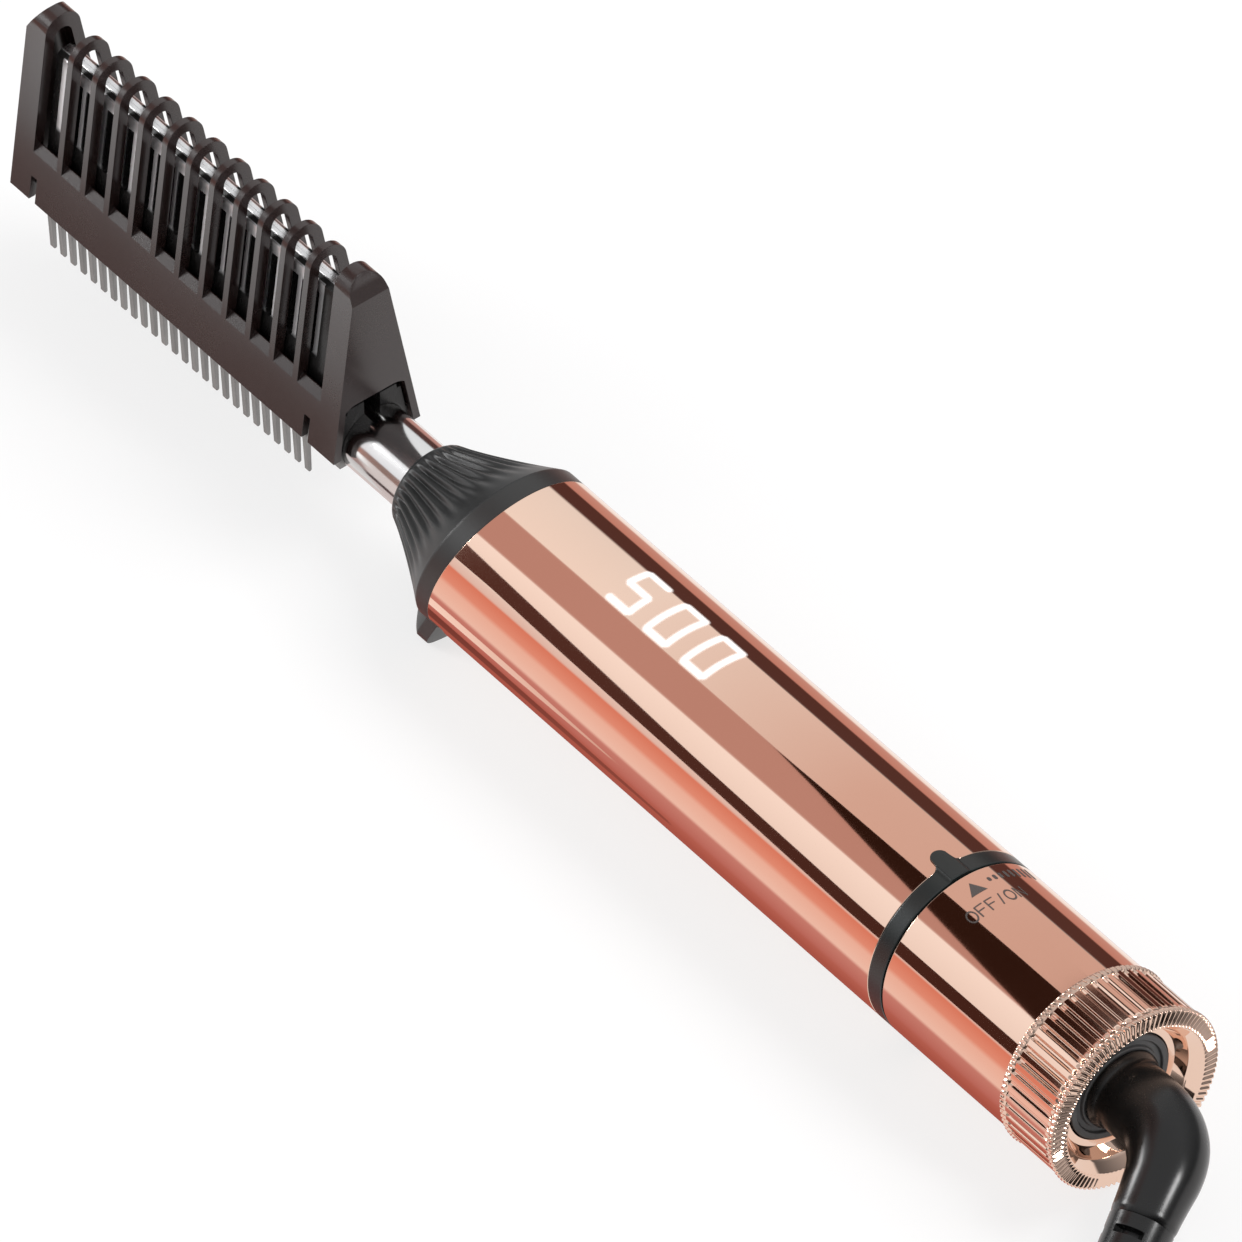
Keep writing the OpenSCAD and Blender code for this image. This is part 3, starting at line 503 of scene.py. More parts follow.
def sweep_frame(path):
    """Unit vectors along, beside and above a path that never runs upright."""
    ahead = np.gradient(path, axis=0)
    ahead /= np.linalg.norm(ahead, axis=1, keepdims=True)
    beside = np.cross((0.0, 0.0, 1.0), ahead)
    beside /= np.linalg.norm(beside, axis=1, keepdims=True)
    return ahead, beside, np.cross(ahead, beside)


def tube(name, path, radius, sides):
    """A round tube along a path in millimetres. radius is one number, one for each point, or
    one for each point and side. Both ends are closed at the middle line."""
    _, beside, above = sweep_frame(path)
    turn = np.linspace(0, 2 * math.pi, sides, endpoint=False)
    reach = np.broadcast_to(
        np.asarray(radius, float).reshape(-1, 1) if np.ndim(radius) < 2 else radius,
        (len(path), sides),
    )
    offset = (
        np.cos(turn)[None, :, None] * beside[:, None] + np.sin(turn)[None, :, None] * above[:, None]
    )
    grid = path[:, None] + reach[..., None] * offset
    ends = [np.repeat(path[k][None, None], sides, 1) for k in (0, -1)]
    grid = np.concatenate([ends[0], grid, ends[1]]) / 1000
    return skin(name, grid, round_columns=True, weld=True)


def soft_step(t):
    """3t^2 - 2t^3 between 0 and 1."""
    t = np.clip(t, 0, 1)
    return t * t * (3 - 2 * t)


turns, layers, loop_step, coil_radius = 8, 4, 6.5, 40.0
t = np.arange(turns * 48 + 1) / 48
layer_turns = turns / layers
layer = np.minimum(np.floor(t / layer_turns), layers - 1)
share = t - layer * layer_turns
loop_radius = np.where(
    layer % 2 == 0,
    coil_radius - share * loop_step,
    coil_radius - layer_turns * loop_step + share * loop_step,
)
climb = sum(loop_step * soft_step((t - k * layer_turns + 0.25) / 0.5) for k in (1, 2, 3))
turn = 2 * math.pi * t - math.pi / 2
coil_line = np.stack(
    [loop_radius * np.cos(turn), loop_radius * np.sin(turn), climb], -1
)
coil_middle = np.array([16.0, 40.0, 0.0])
tail_points = np.array(
    [
        (6, -40, 19.5), (9, -40, 19.5), (14, -38.8, 20.3), (19.5, -36, 21.7), (24.5, -32.5, 23.5),
        (28.5, -27, 25), (31, -20.5, 26), (32, -14, 26.5), (31, -7.5, 28.4), (28.5, -1, 30.2),
        (25.5, 4.196, 30.2),
    ]
)
lead_line = np.concatenate(
    [
        [[0, 0, 0], [2.5, 0, 0], [5, 0, 0], [7.5, 0, 0], [10, 0, 0], [13, 0, 0]],
        coil_middle + coil_line,
        coil_middle + smooth_line(tail_points, 6),
    ]
)
lead_line = from_lead(lead_line)
mains_lead = tube("mains_lead", lead_line, lead_radius, 18)
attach(mains_lead, "cord_swivel")
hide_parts("cord_lead", "cord_coil", "cord_tail")


def finish(name, graph_of, metallic=0.0, **constants):
    """A material. graph_of(graph) gives the sockets that vary over the surface, and the
    constants are set straight on the shader."""
    made = bpy.data.materials.new(name)
    graph = Graph(made)
    sockets = {"Metallic": metallic}
    sockets.update({key.replace("_", " "): value for key, value in constants.items()})
    sockets.update(graph_of(graph))
    graph.node(
        "ShaderNodeOutputMaterial",
        {},
        {"Surface": graph.node("ShaderNodeBsdfPrincipled", {}, sockets)},
    )
    return made


def dress(piece, material):
    """Gives a piece its one material."""
    if piece.material_slots:
        piece.material_slots[0].material = material
    else:
        piece.data.materials.append(material)


def moulded(name, colour, rough, grain=2600.0, depth=4e-6, tone=0.25, **constants):
    """Moulded plastic: the fine grain of an eroded mould in the bump, and slow clouds in its
    tone and gloss."""

    def sockets(graph):
        place = graph.place()
        fine = graph.cloud(place, grain, 2.0, 0.6)
        slow = graph.cloud(place, 60.0, 3.0, 0.55)
        dark = tuple(c * (1 - tone) for c in colour)
        pale = tuple(c * (1 + tone) for c in colour)
        return {
            "Base Color": graph.mix((slow * 0.7 + fine * 0.3).clamp(), dark, pale),
            "Roughness": (rough - 0.08) + slow * 0.12 + fine * 0.04,
            "Normal": graph.bump(fine, depth),
        }

    return finish(name, sockets, **constants)


dress(mains_lead, moulded("lead_sheath", (0.018, 0.018, 0.018), 0.42, grain=900.0, depth=1.2e-5))


# ---- Ties ----
# Two black straps cut from woven hook-and-loop tape. Each is pulled tight round the coil's
# four layers and pressed onto itself.
def rounded(corners, radius, steps=5):
    """A closed outline with its corners rounded: each corner gives way to a parabola that
    starts and ends radius from it, or half a side where the side is short."""
    p = np.array(corners, float)
    back, on = np.roll(p, 1, 0) - p, np.roll(p, -1, 0) - p
    back_length = np.linalg.norm(back, axis=1, keepdims=True)
    on_length = np.linalg.norm(on, axis=1, keepdims=True)
    reach = np.broadcast_to(np.asarray(radius, float).reshape(-1, 1), back_length.shape)
    start = p + back / back_length * np.minimum(reach, 0.49 * back_length)
    end = p + on / on_length * np.minimum(reach, 0.49 * on_length)
    t = np.linspace(0, 1, steps)[None, :, None]
    line = (1 - t) ** 2 * start[:, None] + 2 * t * (1 - t) * p[:, None] + t**2 * end[:, None]
    return line.reshape(-1, 2)


tie_width, tie_thick = 9.0, 0.7
tie_inner = (23.4, -3.1, 43.2, 22.6)  # the bundle's inner radius, bottom, outer radius and top


def strap(name, angle):
    """A band carried round the bundle's outline, which stands upright at angle round the
    coil. Its section is a flat rounded bar, tie_width by tie_thick, outside the outline."""
    x0, z0, x1, z1 = tie_inner
    h = tie_thick / 2
    loop = rounded(
        [(x0 - h, z0 - h), (x1 + h, z0 - h), (x1 + h, z1 + h), (x0 - h, z1 + h)], 3.4, 9
    )
    along = np.roll(loop, -1, 0) - np.roll(loop, 1, 0)
    along /= np.linalg.norm(along, axis=1, keepdims=True)
    out = np.stack([along[:, 1], -along[:, 0]], 1)
    section = rounded(
        [(-tie_width / 2, -h), (tie_width / 2, -h), (tie_width / 2, h), (-tie_width / 2, h)], 0.3, 4
    )
    flat = loop[:, None] + out[:, None] * section[None, :, 1:]
    across = np.broadcast_to(section[None, :, :1], (*flat.shape[:2], 1))
    c, s = math.cos(angle), math.sin(angle)
    grid = np.stack(
        [
            flat[..., 0] * c + across[..., 0] * s,
            flat[..., 0] * s - across[..., 0] * c,
            flat[..., 1],
        ],
        -1,
    )
    return skin(name, from_lead(coil_middle + grid) / 1000, True, True)


def woven(graph):
    """Threads crossing at a right angle, from two sine waves over the strap's own UV."""
    own = graph.node("ShaderNodeTexCoord", {}, {}, 2)
    parts = graph.node("ShaderNodeSeparateXYZ", {}, {"Vector": own})
    across = Wire(graph, parts.socket.node.outputs[1])
    warp = (parts * 900.0).math("SINE", parts * 900.0)
    weft = (across * 160.0).math("SINE", across * 160.0)
    height = (warp * weft) * 0.5 + 0.5
    fuzz = graph.cloud(graph.place(), 1500.0, 3.0, 0.7)
    return {
        "Base Color": graph.mix(
            (height * 0.6 + fuzz * 0.4).clamp(), (0.012, 0.012, 0.013), (0.05, 0.05, 0.052)
        ),
        "Roughness": 0.85 + fuzz * 0.12,
        "Normal": graph.bump(height * 0.7 + fuzz * 0.5, 1.5e-4),
    }


tie_finish = finish("woven_strap", woven, Sheen_Weight=0.3)
ties = [strap("tie_near", math.radians(20)), strap("tie_far", math.radians(160))]
for tie in ties:
    dress(tie, tie_finish)
    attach(tie, "cord_swivel")
    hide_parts("cord_tie")


# ---- Plug ----
# A moulded two-blade plug on the lead's end, black PVC with a ribbed boot, and two flat
# brass blades, each with its hole. It lies on the coil.
def eased(node, name, width, sharp=40, flat=0.6, segments=2):
    """A welded copy of a CAD node whose edges are eased by a bevel of width millimetres."""
    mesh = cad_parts[node].data.copy()
    mesh.name = name
    mesh.materials.clear()
    work = bmesh.new()
    work.from_mesh(mesh)
    bmesh.ops.remove_doubles(work, verts=work.verts, dist=2e-7)
    bmesh.ops.dissolve_limit(
        work,
        angle_limit=math.radians(flat),
        verts=work.verts,
        edges=work.edges,
        delimit={"NORMAL"},
    )
    work.to_mesh(mesh)
    work.free()
    piece = settle(name, mesh, sharp, False)
    bevel = piece.modifiers.new("eased", "BEVEL")
    bevel.width = width / 1000
    bevel.segments = segments
    bevel.limit_method = "ANGLE"
    bevel.angle_limit = math.radians(sharp)
    bevel.harden_normals = True
    bevel.use_clamp_overlap = True
    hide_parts(node)
    return piece


plug = eased("plug_body", "plug", 0.7)
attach(plug, "cord_swivel")
dress(plug, moulded("plug_shell", (0.02, 0.02, 0.02), 0.46, grain=1500.0, depth=1.5e-5))


def bright(name, colour, rough, scratch=0.06, **constants):
    """Bare bright metal: fine lengthwise scratches and slow clouds in its gloss."""

    def sockets(graph):
        place = graph.place(scale=(60, 900, 900))
        fine = graph.cloud(place, 1.0, 4.0, 0.6)
        slow = graph.cloud(graph.place(), 90.0, 2.0, 0.5)
        return {
            "Base Color": graph.mix(slow, tuple(0.9 * c for c in colour), colour),
            "Roughness": rough + fine * scratch + slow * 0.05,
            "Normal": graph.bump(fine, 1.5e-6),
        }

    return finish(name, sockets, metallic=1.0, **constants)


brass_finish = bright("brass", (0.72, 0.50, 0.22), 0.22)
blades = eased("plug_blades", "blades", 0.2)
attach(blades, "cord_swivel")
dress(blades, brass_finish)


# ---- Strain relief ----
# A tapered flexible sleeve moulded onto the lead's start, black. Rows of slots between its
# rings let it bend, and it sags from the elbow to the table.
relief_start, relief_end, relief_core, relief_rings = 5.3, 3.75, 3.5, 9


def relief_radius(t, turn):
    """The radius at a share t of the length and an angle turn: a straight taper, less the
    slots, which are cut to the core in rows of four, each row turned by half a slot."""
    full = relief_start + (relief_end - relief_start) * t
    row = np.floor(t * relief_rings)
    place = t * relief_rings - row
    gap = soft_step((place - 0.62) / 0.06) * soft_step((0.98 - place) / 0.06)
    web = np.cos(4 * turn + math.pi * (row % 2))
    slot = gap * soft_step((web + 0.35) / 0.35)
    return full - (full - relief_core) * slot


t = np.linspace(0, 1, relief_rings * 16 + 1)
turn = np.linspace(0, 2 * math.pi, 64, endpoint=False)
relief = tube(
    "strain_sleeve",
    relief_line(t),
    relief_radius(np.minimum(t, 0.9999)[:, None], turn[None, :]),
    64,
)
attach(relief, "cord_swivel")
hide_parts("strain_relief")
elbow_finish = moulded(
    "elbow_gloss",
    (0.006, 0.006, 0.006),
    0.26,
    grain=1800.0,
    depth=1.2e-6,
    Specular_IOR_Level=0.45,
    Coat_Weight=0.25,
    Coat_Roughness=0.2,
)
dress(relief, elbow_finish)


# ---- Swivel elbow ----
# One smooth glossy black moulding. Its root turns in the end disc, and the leg slopes down
# to the strain relief.
root_x, elbow_radius, leg_end_radius = 150.9, 6.3, 5.4
leg_along = np.array(
    [math.cos(bend), -math.sin(bend) * math.cos(dip), -math.sin(bend) * math.sin(dip)]
)
corner = np.array([corner_x, 0.0, 0.0])
bend_from, bend_pull = 7.0, 0.35
t = np.linspace(root_x - corner_x, -bend_from, 12, endpoint=False)[:, None]
root_part = corner + t * (1, 0, 0)
t = np.linspace(0, 1, 26)[:, None]
bent_part = (
    (1 - t) ** 2 * (corner - (bend_from, 0, 0))
    + 2 * t * (1 - t) * (corner + bend_pull * (leg_along - (1, 0, 0)))
    + t**2 * (corner + bend_from * leg_along)
)
leg_part = corner + np.linspace(bend_from, leg_length, 14)[1:, None] * leg_along
elbow_line = np.concatenate([root_part, bent_part, leg_part])


def on_handle(points):
    """Points given along, beside and above the handle's axis, in millimetres, in the part's
    frame in metres."""
    return (points + np.array([-middle, 0.0, axis_height])) / 1000


run = np.concatenate([[0], np.linalg.norm(np.diff(elbow_line, axis=0), axis=1).cumsum()])
run /= run[-1]
swell = elbow_radius + 0.15 * np.exp(-(((run - 0.5) / 0.16) ** 2))
taper = (swell - leg_end_radius) * soft_step((run - 0.5) / 0.5)
elbow_radii = swell - taper
# A low flange at the root, and a rounded end.
elbow_radii[:3] = elbow_radius + np.array([0.75, 0.65, 0.2])
elbow_radii[-2:] -= (0.1, 0.5)
elbow = tube("elbow", elbow_line + (-middle, 0, axis_height), elbow_radii, 64)
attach(elbow, "cord_swivel")
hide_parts("cord_elbow")
dress(elbow, elbow_finish)


# ---- End disc ----
# A satin dark grey disc closes the handle round the elbow's root. A groove and a raised lip
# run round it.
def turned(name, outline, sides=192, sharp=38, shape=None):
    """A closed outline of (along the axis, radius), in millimetres, turned round the handle's
    axis. shape(along, radius, turn) may change both where the outline isn't round."""
    x, r = np.array(outline).T
    turn = np.linspace(0, 2 * math.pi, sides, endpoint=False)
    x, r, turn = np.broadcast_arrays(x[:, None], r[:, None], turn[None, :])
    if shape:
        x, r = shape(x, r, turn)
    grid = on_handle(np.stack([x, r * np.cos(turn), r * np.sin(turn)], -1))
    return skin(name, grid, True, True, sharp)


disc_x, disc_radius, stem_radius = 149.1, 9.6, 4.66
disc = turned(
    "end_plate",
    rounded(
        [
            (disc_x, stem_radius), (disc_x, disc_radius), (disc_x + 1.5, disc_radius),
            (disc_x + 1.5, 8.5), (disc_x + 0.9, 8.4), (disc_x + 0.9, 7.5), (disc_x + 1.5, 7.4),
            (disc_x + 1.5, stem_radius),
        ],
        0.22,
    ),
)
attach(disc, "handle")
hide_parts("end_disc")
dress(disc, moulded("end_plate", (0.075, 0.075, 0.076), 0.5, depth=6e-6))


# ---- Knurled cap ----
# Rose gold plated ring at the dial's end. Lengthwise ribs give grip, a fine beaded rim runs
# round each end, and the rear face slopes in to the end disc.
cap_x, tail_x, cap_radius, ribs, beads = 141.5, 154.3, 16.3, 48, 96


def plated(name):
    """Mirror plating in rose gold: base colour (0.87, 0.63, 0.50) with slow clouds, a faint
    lengthwise polish and a breath of haze in its gloss."""

    def sockets(graph):
        polish = graph.cloud(graph.place(scale=(25, 420, 420)), 1.0, 3.0, 0.55)
        slow = graph.cloud(graph.place(), 35.0, 3.0, 0.5)
        return {
            "Base Color": graph.mix(slow, (0.85, 0.60, 0.475), (0.885, 0.65, 0.525)),
            "Roughness": 0.02 + slow * 0.03 + polish * 0.015,
            "Normal": graph.bump(polish, 4e-7),
        }

    return finish(name, sockets, metallic=1.0)


rose_gold = plated("rose_gold")


def ribbed(x, r, turn):
    """Ribs: the outer wall sinks by 0.42 mm in 48 narrow grooves. Beads: a cosine wave on a
    rope's slant, 96 round the cap, cuts 0.34 mm into both rims and 0.38 mm into the rear
    face."""
    wave = 0.5 - 0.5 * np.cos(ribs * turn)
    groove = soft_step((wave - 0.45) / 0.5)
    inside = soft_step((x - cap_x - 1.15) / 0.25) * soft_step((tail_x - 1.35 - x) / 0.25)
    outer = (r > 15.9) & (x < tail_x + 0.1)
    r = r - np.where(outer, 0.42 * groove * inside, 0)
    front = np.clip(1 - np.abs(x - cap_x - 0.6) / 0.6, 0, 1) ** 0.5
    rear = np.clip(1 - np.abs(x - tail_x + 0.65) / 0.75, 0, 1) ** 0.5
    slant = 0.5 + 0.5 * np.cos(beads * turn + 2.2 * (x - cap_x))
    r = r - np.where(outer, 0.34 * slant * np.maximum(front, rear), 0)
    face = (x > tail_x - 0.35) & (r > 13.7) & (r < 16.4)
    x = x - np.where(face, 0.38 * slant, 0)
    return x, r


front_rim = [cap_radius, 16.52, 16.6, 16.6, 16.6, 16.52, cap_radius]
rear_rim = [cap_radius, 16.5, 16.6, 16.6, 16.6, 16.5, cap_radius]
outline = np.concatenate(
    [
        np.stack([np.linspace(cap_x, cap_x + 1.2, 7), front_rim], 1),
        np.stack([np.linspace(cap_x + 1.35, tail_x - 1.5, 16), np.full(16, cap_radius)], 1),
        np.stack([np.linspace(tail_x - 1.35, tail_x, 7), rear_rim], 1),
        [(tail_x, face_r) for face_r in (16.0, 15.5, 15.0, 14.5, 14.0, 13.6)],
        [(tail_x - 0.1, 13.4), (tail_x - 1.6, 12.4), (tail_x - 1.75, 12.15), (tail_x - 2.1, 12.05)],
        [(150.3, 11.0), (150.2, 10.4), (150.2, 9.9), (149.4, 9.9)],
        [(149.4, 14.4), (cap_x, 14.4), (cap_x, 15.6)],
    ]
)
cap = turned("knurled_ring", outline, sides=ribs * 24, sharp=50, shape=ribbed)
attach(cap, "dial")
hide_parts("knurled_cap")
dress(cap, rose_gold)


# ---- Dial sleeve ----
# A short tube between the index ring and the cap, plated in rose gold. It is turned with
# the cap to set the heat.
sleeve_x, barrel_radius, bore_radius = 112.7, 16.0, 14.5
sleeve = turned(
    "dial_tube",
    np.concatenate(
        [
            [(sleeve_x, bore_radius), (sleeve_x, 15.88), (sleeve_x + 0.04, 15.96)],
            [(sleeve_x + 0.12, barrel_radius), (sleeve_x + 0.16, barrel_radius)],
            np.stack([np.linspace(sleeve_x + 0.4, cap_x - 0.4, 8), np.full(8, barrel_radius)], 1),
            [(cap_x - 0.2, barrel_radius), (cap_x - 0.16, barrel_radius), (cap_x - 0.08, 15.96)],
            [(cap_x - 0.04, 15.88), (cap_x - 0.04, bore_radius)],
        ]
    ),
)
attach(sleeve, "dial")
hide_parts("dial_sleeve")
dress(sleeve, rose_gold)


# ---- Dial marks ----
# Printed in dark grey on the turning sleeve: a pointer, a scale wedge that grows in steps,
# and the words OFF/ON.
film_radius = 16.02


def decal(name, x_range, turn_range, step, cover):
    """A thin curved film on the handle, step millimetres between its points. cover(x, arc)
    gives how far each point is printed or lit, 0 to 1, and is kept as an attribute. arc is
    the way round from the top towards the near side, in millimetres."""
    x = np.arange(*x_range, step)
    arc = np.arange(*np.radians(turn_range) * barrel_radius, step)
    x, arc = np.meshgrid(x, arc, indexing="ij")
    turn = arc / barrel_radius
    grid = on_handle(
        np.stack([x, -film_radius * np.sin(turn), film_radius * np.cos(turn)], -1)
    )
    film = skin(name, grid, flip=False)
    normals = np.empty(len(film.data.polygons) * 3)
    film.data.polygons.foreach_get("normal", normals)
    if normals.reshape(-1, 3)[:, 2].mean() < 0:
        film.data.flip_normals()
    own = film.data.attributes.new("cover", "FLOAT", "POINT")
    own.data.foreach_set("value", cover(x, arc).ravel().astype(np.float32))
    return film


def stroke(x, arc, start, end):
    """Distance of each point to the straight line from start to end."""
    a, b = np.array(start, float), np.array(end, float)
    run = b - a
    share = np.clip(((x - a[0]) * run[0] + (arc - a[1]) * run[1]) / (run @ run), 0, 1)
    return np.hypot(x - a[0] - share * run[0], arc - a[1] - share * run[1])


def ring_round(x, arc, middle_at, half_x, half_arc):
    """Distance of each point to an upright oval, taken along the way to its middle."""
    dx, da = (x - middle_at[0]) / half_x, (arc - middle_at[1]) / half_arc
    return np.abs(np.hypot(dx, da) - 1) * min(half_x, half_arc)


def dial_print(x, arc):
    """The pointer is where its three half planes overlap, a dot is a small rounded bar, and
    the letters are strokes 0.22 mm wide. Letters stand with their tops towards the comb."""
    tall, wide, base = 2.3, 1.35, 121.1
    ink = np.full(x.shape, 9.0)
    arc_at = 4.6
    for letter in "OFF/ON":
        a0, a1 = arc_at, arc_at - wide
        top, foot = base - tall, base
        half = (a0 + a1) / 2
        if letter == "O":
            gap = ring_round(x, arc, ((top + foot) / 2, half), tall / 2, wide / 2 + 0.1)
        elif letter == "F":
            gap = np.minimum.reduce(
                [
                    stroke(x, arc, (top, a0), (foot, a0)),
                    stroke(x, arc, (top, a0), (top, a1)),
                    stroke(x, arc, (top + 1.05, a0), (top + 1.05, a1 + 0.2)),
                ]
            )
        elif letter == "/":
            gap = stroke(x, arc, (top, a0 - 0.75), (foot, a0 - 0.2))
        else:
            gap = np.minimum.reduce(
                [
                    stroke(x, arc, (top, a0), (foot, a0)),
                    stroke(x, arc, (top, a1), (foot, a1)),
                    stroke(x, arc, (top, a0), (foot, a1)),
                ]
            )
        ink = np.minimum(ink, gap - 0.11)
        arc_at -= (1.0 if letter == "/" else wide) + 0.62
    tip, base_x, half_base = 114.4, 117.0, 1.55
    pointer = np.maximum(
        x - base_x, (np.abs(arc) * (base_x - tip) / half_base - (x - tip)) * 0.51
    )
    ink = np.minimum(ink, pointer)
    for k in range(9):
        away = -3.2 - 1.15 * k
        reach = 0.16 + 0.12 * k
        bar = stroke(x, arc, (115.4 - reach, away), (115.4 + reach, away)) - 0.3
        ink = np.minimum(ink, bar)
    return np.clip(0.5 - ink / 0.12, 0, 1)


def covered(colour, rough):
    """Ink that is as opaque as the film's own attribute says."""

    def sockets(graph):
        cover = graph.node("ShaderNodeAttribute", {"attribute_name": "cover"}, {}, 2)
        fine = graph.cloud(graph.place(), 2500.0, 2.0, 0.5)
        return {
            "Base Color": graph.mix(fine, tuple(0.9 * c for c in colour), colour),
            "Alpha": cover,
            "Roughness": rough + fine * 0.1,
        }

    return sockets


marks = decal("dial_marks", (113.4, 122.2), (-50, 20), 0.07, dial_print)
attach(marks, "dial")
dress(marks, finish("printed_grey", covered((0.075, 0.062, 0.058), 0.45)))


# ---- Index ring ----
# A black plastic ring in a groove of the handle. Its rounded tab marks where the dial's
# scale is read.
ring_x, ring_end, tab_reach, tab_radius = 109.2, 112.4, 3.4, 1.5


def tab(turn):
    """How far the ring reaches towards the comb at an angle: a half disc on a short neck at
    the top, with hollow fillets into the ring."""
    arc = np.abs((turn - math.pi / 2) * barrel_radius)
    dome = tab_reach - tab_radius + np.sqrt(np.clip(tab_radius**2 - arc**2, 0, None))
    fillet = 1.5 - np.sqrt(np.clip(1.5**2 - (3.0 - np.minimum(arc, 3.0)) ** 2, 0, None))
    return np.where(arc < tab_radius - 0.02, dome, fillet)


def ring_shape(x, r, turn):
    """The front edge moves towards the comb by the tab, which stands 0.3 mm proud."""
    front = x < ring_x + 0.6
    proud = 0.3 * soft_step(tab(turn) / 1.2) * (r > 15.9)
    return x - np.where(front, tab(turn), 0), r + proud


index_band = turned(
    "index_band",
    np.concatenate(
        [
            [(ring_x, 14.0), (ring_x, 15.86)],
            [(ring_x + 0.05, 15.96), (ring_x + 0.15, barrel_radius)],
            np.stack([np.linspace(ring_x + 0.3, ring_end - 0.3, 6), np.full(6, barrel_radius)], 1),
            [(ring_end - 0.12, barrel_radius), (ring_end - 0.03, 15.95)],
            [(ring_end, 15.84), (ring_end, 14.0)],
        ]
    ),
    sides=1152,
    shape=ring_shape,
)
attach(index_band, "handle")
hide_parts("index_ring")
dress(index_band, moulded("index_black", (0.012, 0.016, 0.016), 0.3, depth=3e-6))


# ---- Front barrel ----
# A rose gold plated tube. Its front edge is cut on a slant to meet the collar, and its other
# end is notched for the ring's tab.
barrel_length, rim_slant = 109.2, math.radians(16)


def barrel_shape(x, r, turn):
    """The front edge lies on a plane tipped by rim_slant, the other end follows the tab."""
    share = x / barrel_length
    start = r * math.tan(rim_slant) * np.sin(turn) + 0.03
    return x + start * (1 - share) - (tab(turn) + 0.02) * share**40, r


barrel = turned(
    "barrel",
    np.concatenate(
        [
            [(0, bore_radius), (0, 15.9), (0.04, 15.97)],
            [(0.1, barrel_radius), (0.14, barrel_radius), (0.3, barrel_radius)],
            np.stack([np.linspace(3, 102, 12), np.full(12, barrel_radius)], 1),
            np.stack([np.linspace(103.5, 109.0, 12), np.full(12, barrel_radius)], 1),
            [(109.08, barrel_radius), (109.12, barrel_radius), (109.17, 15.97)],
            [(barrel_length, 15.9), (barrel_length, bore_radius)],
            np.stack([np.linspace(102, 3, 6), np.full(6, bore_radius)], 1),
        ]
    ),
    sides=1152,
    shape=barrel_shape,
)
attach(barrel, "handle")
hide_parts("barrel_front")
dress(barrel, rose_gold)


# ---- Display ----
# White seven-segment digits, lit from the board below, that shine through the plating.
# They show a plain 500.
def digits(x, arc):
    """Each digit is up to seven strokes, 1.15 mm wide, that fade softly at their edges. Its
    top is on the far side, and the three digits are 9.2 mm apart."""
    far, near, half_way = -5.05, 3.3, -0.9
    glow = np.full(x.shape, 9.0)
    for k, lit in enumerate(("ABDEG", "ABCDEF", "ABCDEF")):
        x0, x1 = 29.9 + 9.2 * k, 34.7 + 9.2 * k
        lean = 0.12
        bars = {
            "A": ((x0 + 0.25, far), (x1 - 0.25, far)),
            "B": ((x0 - lean, far + 0.3), (x0, half_way - 0.25)),
            "C": ((x0, half_way + 0.25), (x0 + lean, near - 0.3)),
            "D": ((x0 + 0.25, near), (x1 - 0.25, near)),
            "E": ((x1, half_way + 0.25), (x1 + lean, near - 0.3)),
            "F": ((x1 - lean, far + 0.3), (x1, half_way - 0.25)),
            "G": ((x0 + 0.3, half_way), (x1 - 0.3, half_way)),
        }
        for name in lit:
            glow = np.minimum(glow, stroke(x, arc, *bars[name]))
    return 0.95 * (1 - soft_step((glow - 0.08) / 0.92))


def shining(graph):
    """Milky white light under the metal."""
    cover = graph.node("ShaderNodeAttribute", {"attribute_name": "cover"}, {}, 2)
    fine = graph.cloud(graph.place(), 1200.0, 2.0, 0.5)
    tone = graph.mix(fine, (1.0, 0.985, 0.97), (1.0, 1.0, 1.0))
    return {
        "Base Color": tone,
        "Emission Color": tone,
        "Alpha": cover,
        "Roughness": 0.5 + fine * 0.1,
    }


display = decal("display_glow", (27.6, 54.6), (-22, 16), 0.11, digits)
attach(display, "handle")
dress(display, finish("display_glow", shining, Emission_Strength=0.4))


# ---- Collar ----
# A fluted bell of satin dark grey plastic between the neck and the barrel. A plain band runs
# along its slanted rim, and a flat foot below keeps the hot comb off the table.
bell_x, bell_radius_at_mouth, flutes, flute_depth = -20.4, 7.8, 36, 0.8
collar_share = np.concatenate(
    [np.linspace(0, 0.06, 7), np.linspace(0.075, 0.84, 52), np.linspace(0.85, 1, 10)]
)[:, None]

# The foot's outline leaves the barrel's circle 40 degrees below the axis on each side. It is
# filled in with points and kept as a reach for each angle.
foot_half, foot_leaves = 13.2, math.radians(40)
leave_y, leave_z = barrel_radius * math.cos(foot_leaves), -barrel_radius * math.sin(foot_leaves)
foot_outline = rounded(
    [
        (leave_y, leave_z), (foot_half, -axis_height),
        (-foot_half, -axis_height), (-leave_y, leave_z),
    ],
    [0.1, 2.6, 2.6, 0.1],
    12,
)
foot_outline = np.linspace(foot_outline, np.roll(foot_outline, -1, 0), 24, endpoint=False)
foot_outline = foot_outline.transpose(1, 0, 2).reshape(-1, 2)
foot_outline = foot_outline[foot_outline[:, 1] < leave_z]
foot_turn = np.arctan2(foot_outline[:, 1], foot_outline[:, 0])
order = np.argsort(foot_turn)
foot_turn, foot_reach = foot_turn[order], np.hypot(*foot_outline[order].T)


